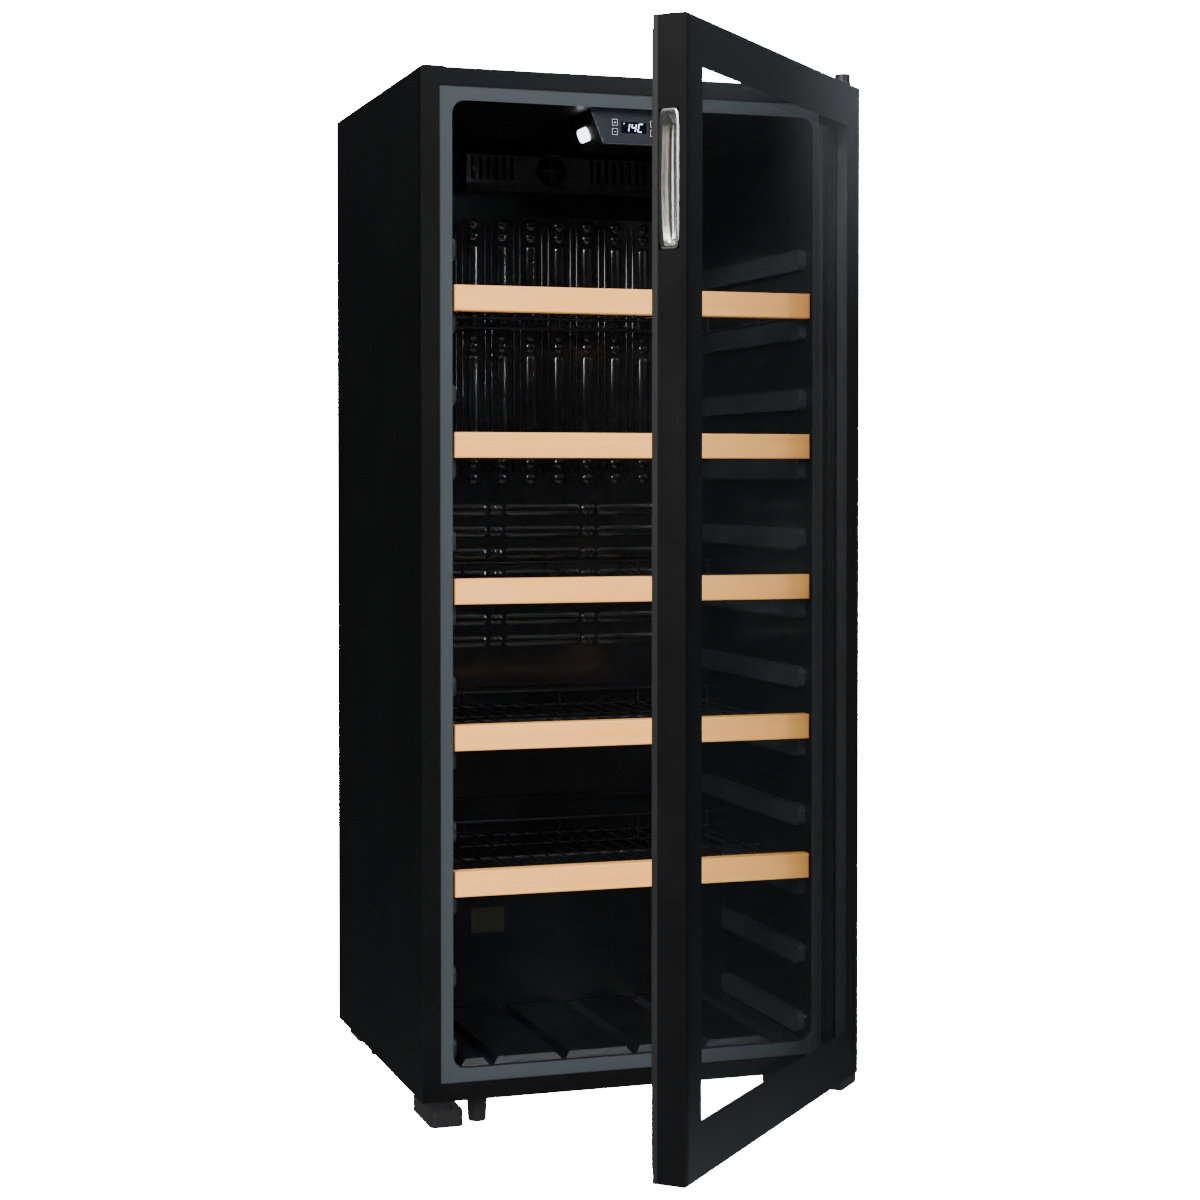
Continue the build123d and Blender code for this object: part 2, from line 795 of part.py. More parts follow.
with BuildPart() as clips:
    for clip_x in (middle - 11 * wire_spacing, middle + 11 * wire_spacing):
        for clip_run in (1, run_count - 2):
            clip_z = condenser_low + run_pitch * clip_run
            with Locations((clip_x, (rear_panel_back + condenser_y) / 2, clip_z)):
                Box(14, condenser_y - rear_panel_back, 16)
            with Locations((clip_x, condenser_y, clip_z)):
                Cylinder(tube_radius + 3, 14, rotation=(0, 90, 0))
                Cylinder(tube_radius + 0.05, 40, rotation=(0, 90, 0), mode=Mode.SUBTRACT)
save(clips, "condenser_clips")

with BuildPart() as inlet:
    inlet_x = left + 90
    inlet_low = bay_floor + 24
    block((inlet_x - 26, back - 30, inlet_low), (inlet_x + 26, back - 4, inlet_low + 30))
    block((inlet_x - 32, back - 6, inlet_low - 4), (inlet_x + 32, back - 3, inlet_low + 34))
    block((inlet_x - 10, back - 30, bay_floor), (inlet_x + 10, back - 10, inlet_low))
    block(
        (inlet_x - 13.5, back - 22, inlet_low + 5),
        (inlet_x + 13.5, back, inlet_low + 25),
        mode=Mode.SUBTRACT,
    )
    for pin_x, pin_z in ((-7, 10), (7, 10), (0, 14)):
        block(
            (inlet_x + pin_x - 1, back - 23, inlet_low + pin_z - 2),
            (inlet_x + pin_x + 1, back - 8, inlet_low + pin_z + 2),
        )
save(inlet, "power_inlet")

# ---------------------------------------------------------------- hinges
with BuildPart() as top_bracket:
    with BuildSketch(Plane.XY.offset(top)):
        with Locations((right - 30, front + 25)):
            RectangleRounded(54, 60, 6)
        with Locations((hinge_x, (hinge_y + front + 10) / 2)):
            Rectangle(22, front + 10 - hinge_y)
        with Locations((hinge_x, hinge_y)):
            Circle(11)
    extrude(amount=bracket)
    with Locations((hinge_x, hinge_y, top - 12)):
        Cylinder(pin_radius, 24 + 2 * bracket)
save(top_bracket, "top_hinge_bracket")

with BuildPart() as hinge_cap:
    with Locations((hinge_x, hinge_y, top + bracket + 5.5)):
        Cylinder(10.5, 11)
    fillet(hinge_cap.faces().sort_by(Axis.Z)[-1].edges(), 2)
    with Locations((hinge_x, hinge_y, top + bracket)):
        Cylinder(pin_radius + running_clearance, 2 * bracket, mode=Mode.SUBTRACT)
save(hinge_cap, "top_hinge_cap")

lower_bracket_top = door_bottom - lower_block - 0.5
with BuildPart() as low_bracket:
    block(
        (right - 62, front + 2, bottom - lower_bracket),
        (right - 3, front + 72, bottom),
    )
    block(
        (right - 44, front + 2, lower_bracket_top - lower_bracket),
        (right - 3, front + 6, bottom),
    )
    with BuildSketch(Plane.XY.offset(lower_bracket_top - lower_bracket)):
        with Locations((hinge_x, (hinge_y + front + 6) / 2)):
            Rectangle(24, front + 6 - hinge_y)
        with Locations((hinge_x, hinge_y)):
            Circle(12)
    extrude(amount=lower_bracket)
    with Locations((hinge_x, hinge_y, lower_bracket_top + 15)):
        Cylinder(lower_pin_radius, 30)
save(low_bracket, "lower_hinge_bracket")

with BuildPart() as corner_block:
    block((left, front - 46, bottom - 21), (left + 44, front + 57, bottom))
    fillet(corner_block.edges().filter_by(Axis.Z), 8)
    block((left + 12, front - 30, bottom - 4), (left + 34, front - 8, bottom + 1), mode=Mode.SUBTRACT)
save(corner_block, "lower_left_corner_block")

with BuildPart() as blank_cover:
    with BuildSketch(Plane.XY.offset(top)):
        with Locations((left + 18, front + 25)):
            RectangleRounded(32, 46, 4)
    extrude(amount=2)
    fillet(blank_cover.faces().sort_by(Axis.Z)[-1].edges(), 0.8)
save(blank_cover, "top_blanking_cover")

with BuildPart() as label:
    label_x = left + 177
    label_z = step_top - 87
    block((label_x - 25, step_front - 0.4, label_z - 18), (label_x + 25, step_front, label_z + 18))
save(label, "blank_label_plate")

with BuildPart() as screws:
    for screw_x in (right - 48, right - 30):
        for screw_y in (front + 12, front + 40):
            with Locations((screw_x, screw_y, top + bracket + 1)):
                Cylinder(screw_head, 2)
    for screw_x in (left + 14, middle, right - 14):
        for screw_z in (bay_top + 24, (bay_top + top) / 2, top - 24):
            with Locations((screw_x, rear_panel_back + 1, screw_z)):
                Cylinder(screw_head, 2, rotation=(90, 0, 0))
    for screw_x in (duct_left + 12, duct_right - 12):
        with Locations((screw_x, duct_front - 1, fan_z)):
            Cylinder(screw_head, 2, rotation=(90, 0, 0))
save(screws, "panel_screws")

# ---------------------------------------------------------------- feet
for index, centre in enumerate(front_feet):
    with BuildPart() as foot:
        with Locations((*centre, foot_height / 2)):
            Cone(foot_radius - 2, foot_radius, foot_height)
        with Locations((*centre, (foot_height + bottom + boss_height) / 2)):
            Cylinder(stud_radius, bottom + boss_height - foot_height)
    save(foot, ("front_left_foot", "front_right_foot")[index])

with BuildPart() as rear_feet:
    for side_x, inward in ((left, 1), (right, -1)):
        foot_x = side_x + inward * foot_inset / 2
        with Locations((foot_x, front + 440, bottom / 2)):
            Cone(foot_radius - 2, foot_radius, bottom)
        tab_ends = sorted((side_x, foot_x))
        block((tab_ends[0], front + 381, bottom - 5), (tab_ends[1], front + 446, bottom))
save(rear_feet, "rear_feet")

# ---------------------------------------------------------------- door, drawn closed-side on and swung open
free_end = cabinet_width - hinge_inset
door_centre_x = (free_end - hinge_inset) / 2
door_centre_z = (door_bottom + door_top) / 2
window_left = -hinge_inset + side_border
window_right = free_end - side_border
window_centre_x = (window_left + window_right) / 2
window_centre_z = (window_bottom + window_top) / 2
window_width = window_right - window_left
window_height = window_top - window_bottom
rear_height = door_height - 2 * rear_border


def door_sheet(inset):
    """The door's outline, moved in by inset."""
    with Locations((door_centre_x, door_centre_z)):
        Rectangle(cabinet_width - 2 * inset, door_height - 2 * inset)


def rear_cut(outset, mode=Mode.SUBTRACT):
    """The taller opening behind the printed border, moved out by outset."""
    with Locations((window_centre_x, door_centre_z)):
        Rectangle(window_width + 2 * outset, rear_height + 2 * outset, mode=mode)


def frame_ring(inset, outset, start, depth, mode=Mode.ADD):
    """A ring between the door's outline and the rear opening, from a depth behind the outer face."""
    with BuildSketch(door_face(start)) as ring:
        door_sheet(inset)
        rear_cut(outset)
    extrude(ring.sketch, amount=depth, mode=mode)


print_front = glass
frame_front = glass + print_layer
spacer_back = frame_front + spacer_depth
inner_pane_back = spacer_back + glass
rear_trim_front = door_thickness - rear_trim_thickness

with BuildPart() as outer_pane:
    with BuildSketch(door_face(0)):
        door_sheet(0)
    extrude(amount=glass)
    chamfer(outer_pane.faces().sort_by(Axis.Y)[0].edges(), 0.8)
save(outer_pane, "door_outer_glass")

with BuildPart() as border:
    with BuildSketch(door_face(print_front)):
        door_sheet(0)
        with Locations((window_centre_x, window_centre_z)):
            Rectangle(window_width, window_height, mode=Mode.SUBTRACT)
    extrude(amount=print_layer)
save(border, "door_glass_border")

handle_centre_z = bottom + handle_low + handle_height / 2
bush_top_low = door_top - bush_reach_top
bush_low_high = door_bottom + bush_reach_low
with BuildPart() as frame:
    seat_wall = spacer_width + profile_wall
    frame_ring(0, spacer_width, frame_front, inner_pane_back - frame_front)
    frame_ring(0, 0, inner_pane_back, rear_trim_front - inner_pane_back)
    for outset, start, end in (
        (seat_wall, frame_front + profile_wall, inner_pane_back),
        (seat_wall, inner_pane_back, inner_pane_back + profile_wall + 1),
        (profile_wall, inner_pane_back + profile_wall, rear_trim_front),
    ):
        frame_ring(profile_wall, outset, start, end - start, Mode.SUBTRACT)
    for low, high in ((door_bottom, bush_low_high), (bush_top_low, door_top)):
        with BuildSketch(door_level(low)) as boss:
            Circle(bush_radius + 3)
        extrude(boss.sketch, amount=high - low)
        with BuildSketch(door_level(low)) as bore:
            Circle(bush_radius)
        extrude(bore.sketch, amount=high - low, mode=Mode.SUBTRACT)
    with BuildSketch(door_face(handle_face_setback)) as pocket:
        with Locations((free_end - handle_depth / 2, handle_centre_z)):
            Rectangle(handle_depth + 10, handle_height)
    extrude(pocket.sketch, amount=handle_width, mode=Mode.SUBTRACT)
save(frame, "door_frame")

with BuildPart() as spacer:
    with BuildSketch(door_face(frame_front)):
        rear_cut(spacer_width, Mode.ADD)
        rear_cut(0)
    extrude(amount=spacer_depth)
save(spacer, "door_glass_spacer")

with BuildPart() as inner_pane:
    with BuildSketch(door_face(spacer_back)):
        rear_cut(spacer_width, Mode.ADD)
    extrude(amount=glass)
save(inner_pane, "door_inner_glass")

with BuildPart() as rear_trim:
    frame_ring(0, 0, rear_trim_front, rear_trim_thickness)
save(rear_trim, "door_rear_trim")

with BuildPart() as gasket:
    gasket_thickness = door_gap - gasket_relief
    with BuildSketch(door_face(door_thickness)):
        door_sheet(gasket_inset)
        with Locations((door_centre_x, door_centre_z)):
            Rectangle(
                cabinet_width - 2 * (gasket_inset + gasket_width),
                door_height - 2 * (gasket_inset + gasket_width),
                mode=Mode.SUBTRACT,
            )
    extrude(amount=gasket_thickness)
save(gasket, "door_gasket")

handle_plane = door_face(handle_face_setback + handle_width / 2)
free_face = Plane(
    origin=handle_plane.from_local_coords((free_end, handle_centre_z, 0)),
    x_dir=door_face(0).z_dir,
    z_dir=door_face(0).x_dir,
)
with BuildPart() as handle:
    with BuildSketch(free_face):
        Rectangle(handle_width, handle_height)
    extrude(amount=-handle_depth)
    with BuildSketch(free_face):
        RectangleRounded(handle_width - 5, handle_height - 8, 9)
    extrude(amount=-(handle_depth - 2), mode=Mode.SUBTRACT)
save(handle, "door_handle_recess")

with BuildPart() as bushes:
    for low, high, pin in (
        (bush_top_low, door_top, pin_radius),
        (door_bottom, bush_low_high, lower_pin_radius),
    ):
        with BuildSketch(door_level(low)):
            Circle(bush_radius)
            Circle(pin + running_clearance, mode=Mode.SUBTRACT)
        extrude(amount=high - low)
save(bushes, "door_hinge_bushes")

with BuildPart() as hinge_block:
    with BuildSketch(door_level(door_bottom - lower_block)):
        with Locations((lower_block_length / 2 - 10, 0)):
            RectangleRounded(lower_block_length, 2 * hinge_setback - 8, 5)
        Circle(lower_pin_radius + running_clearance, mode=Mode.SUBTRACT)
    extrude(amount=lower_block)
save(hinge_block, "door_lower_hinge_block")

with BuildPart() as plug:
    with BuildSketch(door_level(door_top)):
        with Locations((free_end - hinge_inset, 0)):
            Circle(6.5)
    extrude(amount=1.8)
save(plug, "door_hole_plug")

print("row size", round(cabinet_width + swing_side, 2), round(cabinet_depth + swing_front, 2))
print("left", round(left, 3), "front", round(front, 3), "hinge", round(hinge_x, 3), round(hinge_y, 3))
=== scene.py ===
import json
import math

import bpy
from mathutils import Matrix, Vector


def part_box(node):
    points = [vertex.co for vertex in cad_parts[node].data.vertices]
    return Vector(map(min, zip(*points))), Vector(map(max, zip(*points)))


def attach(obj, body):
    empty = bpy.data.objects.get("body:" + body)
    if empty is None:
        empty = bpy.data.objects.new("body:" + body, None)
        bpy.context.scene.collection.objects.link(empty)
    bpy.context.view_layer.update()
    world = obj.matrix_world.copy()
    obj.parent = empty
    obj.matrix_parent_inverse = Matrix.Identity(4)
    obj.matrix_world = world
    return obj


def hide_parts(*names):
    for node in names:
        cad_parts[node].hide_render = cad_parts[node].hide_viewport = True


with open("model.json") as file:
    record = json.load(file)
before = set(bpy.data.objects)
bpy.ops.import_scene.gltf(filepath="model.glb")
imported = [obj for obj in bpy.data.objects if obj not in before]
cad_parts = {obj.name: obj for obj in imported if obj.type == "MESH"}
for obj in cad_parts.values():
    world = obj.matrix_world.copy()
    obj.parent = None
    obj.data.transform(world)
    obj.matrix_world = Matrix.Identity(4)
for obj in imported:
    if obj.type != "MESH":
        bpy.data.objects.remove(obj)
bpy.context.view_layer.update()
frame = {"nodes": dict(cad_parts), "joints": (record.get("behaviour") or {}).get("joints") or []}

bl_info = {
    "name": "Wine Cooler Looks",
    "version": (1, 0, 0),
    "blender": (4, 5, 0),
    "location": "View3D > Sidebar > Wine Cooler",
    "description": "Finishes and detail pieces for an upright wine cooler",
    "category": "Object",
}

NODES = frame["nodes"]
MM = 0.001
DOOR_JOINT = next(joint for joint in frame["joints"] if joint["name"] == "door_hinge")
HINGE = (DOOR_JOINT["pos_m"][0], DOOR_JOINT["pos_m"][1], 0.0)
DOOR_TURN = -math.radians(DOOR_JOINT["range_deg"][0])
PIN_TO_OUTER_FACE = 24.3 * MM
DOOR_THICKNESS = 45.0 * MM
PIN_TO_FREE_EDGE = 582.0 * MM


# ---------------------------------------------------------------- shader maths
class Reading:
    """A shader socket that adds, subtracts, multiplies and compares as a number does."""

    def __init__(self, owner, socket):
        self.owner = owner
        self.socket = socket

    def math(self, operation, *others, clamp=False):
        values = dict(enumerate((self, *others)))
        settings = {"operation": operation, "use_clamp": clamp}
        return self.owner.node("ShaderNodeMath", settings, values)

    def __add__(self, other):
        return self.math("ADD", other)

    __radd__ = __add__

    def __mul__(self, other):
        return self.math("MULTIPLY", other)

    __rmul__ = __mul__

    def __sub__(self, other):
        return self.math("SUBTRACT", other)

    def __rsub__(self, other):
        return (self * -1.0) + other

    def over(self, level):
        return self.math("GREATER_THAN", level)

    def under(self, level):
        return self.math("LESS_THAN", level)

    def ramp(self, low, high):
        """0 below low, 1 above high and smooth between."""
        settings = {"interpolation_type": "SMOOTHSTEP"}
        values = {"Value": self, "From Min": low, "From Max": high}
        return self.owner.node("ShaderNodeMapRange", settings, values)


class NodeTree:
    """A node tree and the nodes added to it."""

    def __init__(self, tree):
        self.tree = tree

    def feed(self, socket, value):
        if isinstance(value, Reading):
            self.tree.links.new(value.socket, socket)
        else:
            socket.default_value = value

    def node(self, kind, settings, values, output=0):
        """Adds a node: its settings first, then the values or links of its sockets."""
        made = self.tree.nodes.new(kind)
        for name, setting in settings.items():
            setattr(made, name, setting)
        for name, value in values.items():
            self.feed(made.inputs[name], value)
        return Reading(self, made.outputs[output])


class Finish(NodeTree):
    """A material with one Principled shader and the nodes that feed it."""

    def __init__(self, name, **sockets):
        self.material = bpy.data.materials.new(name)
        self.material.use_nodes = True
        super().__init__(self.material.node_tree)
        self.shader = self.tree.nodes["Principled BSDF"]
        self.output = self.tree.nodes["Material Output"]
        self.place = None
        self.give(**sockets)

    def give(self, **sockets):
        """Feeds the Principled shader: base_color=..., roughness=... and so on."""
        for name, value in sockets.items():
            self.feed(self.shader.inputs[SOCKETS[name]], value)
        return self

    def where(self):
        """The piece's own Object coordinates, in metres."""
        if self.place is None:
            self.place = self.node("ShaderNodeTexCoord", {}, {}, "Object")
        return self.place

    def axes(self):
        split = self.node("ShaderNodeSeparateXYZ", {}, {0: self.where()})
        return [Reading(self, split.socket.node.outputs[i]) for i in range(3)]

    def stretched(self, scale, turn=(0, 0, 0)):
        values = {"Vector": self.where(), "Scale": scale, "Rotation": turn}
        return self.node("ShaderNodeMapping", {}, values)

    def noise(self, scale, detail=3.0, roughness=0.5, vector=None):
        values = {
            "Vector": vector or self.where(),
            "Scale": scale,
            "Detail": detail,
            "Roughness": roughness,
        }
        return self.node("ShaderNodeTexNoise", {}, values)

    def cells(self, scale, vector=None, output="Distance"):
        values = {"Vector": vector or self.where(), "Scale": scale}
        return self.node("ShaderNodeTexVoronoi", {}, values, output)

    def blend(self, share, one, other):
        """A colour part of the way from one to other."""
        settings = {"data_type": "RGBA"}
        return self.node("ShaderNodeMix", settings, {0: share, 6: one, 7: other}, 2)

    def bump(self, height, strength=0.3, distance=0.0005):
        values = {"Strength": strength, "Distance": distance, "Height": height}
        return self.give(normal=self.node("ShaderNodeBump", {}, values))


SOCKETS = {
    "base_color": "Base Color",
    "roughness": "Roughness",
    "metallic": "Metallic",
    "coat_weight": "Coat Weight",
    "coat_roughness": "Coat Roughness",
    "specular": "Specular IOR Level",
    "emission_color": "Emission Color",
    "emission_strength": "Emission Strength",
    "normal": "Normal",
}


def opaque(colour):
    return (*colour, 1.0)


def scaled(colour, factor):
    return tuple(min(c * factor, 1.0) for c in colour)


# ---------------------------------------------------------------- finishes
def satin_paint(name, colour, roughness=0.46, specular=0.1, peel=0.12, front=None):
    """Baked powder paint on sheet steel, with a fine orange peel; the faces before front shine more."""
    f = Finish(name, specular=specular, coat_roughness=0.3)
    if front is not None:
        f.give(coat_weight=f.axes()[1].under(front) * 0.45)
    marks = f.noise(7.0, 6.0, 0.62)
    speckle = f.noise(420.0, 2.0)
    f.give(
        base_color=f.blend(marks.ramp(0.35, 0.75), opaque(scaled(colour, 0.82)), opaque(scaled(colour, 1.2))),
        roughness=marks * 0.14 + speckle * 0.05 + (roughness - 0.1),
    )
    return f.bump(speckle + f.noise(1400.0, 1.0) * 0.4, peel, 0.0003).material


def moulded(name, colour, roughness=0.45, specular=0.45, grain=0.18, scale=900.0):
    """Moulded plastic with a fine spark-eroded grain and slow flow marks."""
    f = Finish(name, specular=specular)
    flow = f.noise(11.0, 4.0, 0.55)
    pits = f.cells(scale)
    f.give(
        base_color=f.blend(flow, opaque(scaled(colour, 0.8)), opaque(scaled(colour, 1.25))),
        roughness=flow * 0.12 + pits * 0.05 + (roughness - 0.07),
    )
    return f.bump(pits + flow * 0.3, grain, 0.0002).material


def sheet_moulded_liner(name, colour, rim, front, roughness=0.3):
    """Vacuum-formed sheet: glossy, drawn slightly wavy, with fine dust and a satin rim before front whose
    paler colour is a painted sheen.
    """
    f = Finish(name, specular=0.42, coat_roughness=0.12)
    draw = f.noise(5.0, 3.0, 0.5)
    ripple = f.noise(26.0, 3.0, 0.55)
    dust = f.noise(600.0, 2.0)
    sheet = f.blend(draw.ramp(0.3, 0.7), opaque(scaled(colour, 0.75)), opaque(scaled(colour, 1.3)))
    # faces before front take the paler rim colour: a painted sheen on the flat front ring
    face = f.axes()[1].under(front)
    f.give(
        base_color=f.blend(face, sheet, opaque(rim)),
        roughness=ripple * 0.12 + dust * 0.07 + face * 0.16 + (roughness - 0.08),
        coat_weight=draw * 0.35,
    )
    return f.bump(ripple + dust * 0.05, 0.16, 0.0012).material


def enamel(name, colour, roughness=0.12):
    """Gloss black coating over a pressed aluminium plate, slightly rippled over its channels."""
    f = Finish(name, specular=0.8, coat_roughness=0.08)
    ripple = f.noise(38.0, 4.0, 0.5)
    grit = f.noise(700.0, 2.0)
    f.give(
        base_color=f.blend(ripple, opaque(scaled(colour, 0.7)), opaque(scaled(colour, 1.4))),
        roughness=ripple * 0.1 + grit * 0.05 + (roughness - 0.05),
        coat_weight=0.9,
    )
    return f.bump(ripple + grit * 0.12, 0.2, 0.0008).material


def brushed(name, colour, roughness=0.32, along=(900.0, 30.0, 30.0), turn=(0, 0, 0), metallic=1.0):
    """Rolled or drawn metal with fine lines across the first axis."""
    f = Finish(name, specular=0.5)
    lines = f.noise(1.0, 5.0, 0.6, f.stretched(along, turn))
    stains = f.noise(9.0, 4.0, 0.6)
    f.give(
        base_color=f.blend(stains, opaque(scaled(colour, 0.82)), opaque(scaled(colour, 1.12))),
        roughness=lines * 0.16 + stains * 0.08 + (roughness - 0.12),
        metallic=metallic,
    )
    return f.bump(lines, 0.1, 0.0002).material


def polished_chrome(name, colour, haze_level=0.03):
    """Plated chrome: mirror bright with faint haze and polishing marks."""
    f = Finish(name, metallic=1.0)
    haze = f.noise(60.0, 5.0, 0.6)
    hairs = f.noise(1.0, 3.0, 0.6, f.stretched((500.0, 500.0, 40.0)))
    f.give(
        base_color=f.blend(haze, opaque(scaled(colour, 0.93)), opaque(colour)),
        roughness=haze * 0.08 + hairs * 0.05 + haze_level,
    )
    return f.bump(hairs, 0.03, 0.0001).material


def spangled_zinc(name, colour):
    """Zinc plating with its crystal spangle and small dull patches."""
    f = Finish(name, metallic=0.9)
    spangle = f.cells(230.0, None, "Color")
    dull = f.noise(30.0, 4.0, 0.6)
    f.give(
        base_color=f.blend(spangle, opaque(scaled(colour, 0.75)), opaque(scaled(colour, 1.1))),
        roughness=dull * 0.22 + spangle * 0.12 + 0.2,
    )
    return f.bump(dull, 0.1, 0.0002).material


def oiled_beech(name, colour, dark):
    """Sealed beech: long grain along the rail, short dark ray flecks and slow changes of tone."""
    f = Finish(name, specular=0.2, coat_roughness=0.35)
    bands = f.noise(1.0, 4.0, 0.55, f.stretched((3.0, 60.0, 95.0)))
    fibres = f.noise(1.0, 5.0, 0.65, f.stretched((45.0, 700.0, 900.0)))
    flecks = f.cells(1.0, f.stretched((170.0, 900.0, 1100.0)))
    tone = f.noise(4.0, 2.0)
    grain = f.blend(bands.ramp(0.3, 0.75), opaque(colour), opaque(dark))
    grain = f.blend(fibres.ramp(0.52, 0.8) * 0.35, grain, opaque(scaled(dark, 0.82)))
    grain = f.blend((1.0 - flecks.ramp(0.08, 0.26)) * 0.42, grain, opaque(scaled(dark, 0.62)))
    f.give(
        base_color=f.blend(tone.ramp(0.3, 0.7) * 0.3, grain, opaque(scaled(colour, 1.08))),
        roughness=fibres * 0.16 + bands * 0.08 + 0.4,
        coat_weight=0.06,
    )
    return f.bump(fibres + flecks * 0.4, 0.18, 0.0003).material


def dipped_wire(name, colour):
    """Thick dipped coating on steel wire, with small sags and a soft gloss."""
    f = Finish(name, specular=0.55, coat_roughness=0.2)
    sags = f.noise(120.0, 3.0, 0.55)
    fine = f.noise(900.0, 2.0)
    f.give(
        base_color=f.blend(sags, opaque(scaled(colour, 0.7)), opaque(scaled(colour, 1.5))),
        roughness=sags * 0.16 + fine * 0.06 + 0.2,
        coat_weight=0.3,
    )
    return f.bump(sags + fine * 0.2, 0.22, 0.0004).material


def window_glass(name, tint, gloss=1.5):
    """Float glass that passes light straight on and mirrors what stands before it, faintly smeared."""
    f = Finish(name)
    smears = f.noise(1.0, 4.0, 0.6, f.stretched((6.0, 6.0, 2.2)))
    edge = f.node("ShaderNodeFresnel", {}, {"IOR": gloss})
    inner = f.node("ShaderNodeNewGeometry", {}, {}, "Backfacing")
    clear = f.node("ShaderNodeBsdfTransparent", {}, {"Color": opaque(tint)}, "BSDF")
    haze = {"Color": opaque((0.95, 0.97, 1.0)), "Roughness": 0.03}
    mirror = f.node("ShaderNodeBsdfGlossy", {}, haze, "BSDF")
    share = (edge + smears.ramp(0.5, 0.9) * 0.01) * (1.0 - inner)
    shaders = {0: share, 1: clear, 2: mirror}
    pane = f.node("ShaderNodeMixShader", {}, shaders, "Shader")
    f.feed(f.output.inputs["Surface"], pane)
    f.tree.nodes.remove(f.shader)
    return f.material


def screen_print(name, colour):
    """Fired ceramic ink behind the glass: deep black, even, with the fine mesh of the screen at its edge."""
    f = Finish(name, specular=0.06)
    pinholes = f.cells(1800.0)
    cloud = f.noise(12.0, 4.0, 0.55)
    f.give(
        base_color=f.blend(cloud, opaque(scaled(colour, 0.7)), opaque(scaled(colour, 1.3))),
        roughness=cloud * 0.06 + pinholes * 0.04 + 0.3,
    )
    return f.bump(pinholes, 0.04, 0.0001).material


def soft_rubber(name, colour, roughness=0.62):
    """Extruded or moulded rubber with a dry bloom and a fine skin."""
    f = Finish(name, specular=0.3)
    bloom = f.noise(45.0, 5.0, 0.6)
    skin = f.noise(900.0, 3.0, 0.6)
    f.give(
        base_color=f.blend(bloom.ramp(0.4, 0.8), opaque(colour), opaque(scaled(colour, 2.2))),
        roughness=bloom * 0.18 + skin * 0.08 + (roughness - 0.1),
    )
    return f.bump(skin, 0.25, 0.0003).material


def blown_foam(name, colour):
    """Rigid polyurethane foam: cells of mixed size, darker where it skinned over."""
    f = Finish(name, specular=0.2)
    pores = f.cells(420.0)
    large = f.cells(90.0)
    age = f.noise(6.0, 5.0, 0.6)
    f.give(
        base_color=f.blend(age, opaque(scaled(colour, 0.7)), opaque(colour)),
        roughness=age * 0.1 + 0.82,
    )
    return f.bump(pores + large * 0.5, 0.6, 0.0012).material


def dull_copper(name, colour):
    """Drawn copper tube, bright at the crown and browned by heat near the joints."""
    f = Finish(name, metallic=1.0)
    heat = f.noise(16.0, 5.0, 0.62)
    fine = f.noise(500.0, 3.0)
    f.give(
        base_color=f.blend(heat.ramp(0.4, 0.75), opaque(colour), opaque((0.16, 0.075, 0.045))),
        roughness=heat * 0.28 + fine * 0.06 + 0.2,
    )
    return f.bump(fine, 0.12, 0.0002).material


def glowing(name, colour, strength, cloud=0.12):
    """A lit surface behind a diffuser, a little uneven over its lamps."""
    f = Finish(name, roughness=0.35, emission_strength=strength)
    patch = f.noise(70.0, 3.0, 0.5)
    f.give(
        base_color=opaque(scaled(colour, 0.8)),
        emission_color=f.blend(patch * cloud, opaque(colour), opaque(scaled(colour, 0.6))),
    )
    return f.material


def smoked_window(name, colour):
    """A dark display window with a hard gloss."""
    f = Finish(name, specular=0.6, coat_roughness=0.03)
    depth = f.noise(40.0, 3.0)
    f.give(
        base_color=f.blend(depth, opaque(scaled(colour, 0.6)), opaque(scaled(colour, 1.6))),
        roughness=depth * 0.06 + 0.05,
        coat_weight=0.8,
    )
    return f.bump(depth, 0.02, 0.0002).material


def blank_foil(name, colour):
    """A plain foil plate with a soft metallic sheen and rubbed edges."""
    f = Finish(name, specular=0.5)
    rub = f.noise(55.0, 5.0, 0.6)
    fine = f.noise(1.0, 3.0, 0.6, f.stretched((60.0, 60.0, 900.0)))
    f.give(
        base_color=f.blend(rub, opaque(scaled(colour, 0.75)), opaque(scaled(colour, 1.15))),
        roughness=rub * 0.2 + fine * 0.1 + 0.32,
        metallic=0.55,
    )
    return f.bump(fine, 0.06, 0.0001).material


def studio_floor(name, colour):
    """Seamless matte floor sheet."""
    f = Finish(name, specular=0.2)
    cloud = f.noise(0.8, 3.0)
    f.give(
        base_color=f.blend(cloud, opaque(scaled(colour, 0.985)), opaque(colour)),
        roughness=cloud * 0.05 + 0.85,
        emission_color=opaque(colour),
        emission_strength=40.0,
    )
    return f.material


def dress(material, *names):
    """Gives CAD nodes a finish."""
    for name in names:
        slots = NODES[name].data.materials
        slots.clear()
        slots.append(material)


# ---------------------------------------------------------------- modelling
def start(add, name, **place):
    """Adds a primitive with nothing else selected."""
    bpy.ops.object.select_all(action="DESELECT")
    add(**place)
    piece = bpy.context.object
    piece.name = piece.data.name = name
    return piece


def block(name, low, high):
    """A box between two corners, to be shaped."""
    centre = [(a + b) / 2 for a, b in zip(low, high)]
    piece = start(bpy.ops.mesh.primitive_cube_add, name, size=1.0, location=centre)
    piece.scale = [b - a for a, b in zip(low, high)]
    settle(piece)
    return piece


def settle(piece):
    """Leaves the object at the origin, unturned and unscaled, with its place in its mesh."""
    alone(piece)
    bpy.ops.object.transform_apply(location=True, rotation=True, scale=True)


def alone(*pieces):
    bpy.ops.object.select_all(action="DESELECT")
    for piece in pieces:
        piece.select_set(True)
    bpy.context.view_layer.objects.active = pieces[0]


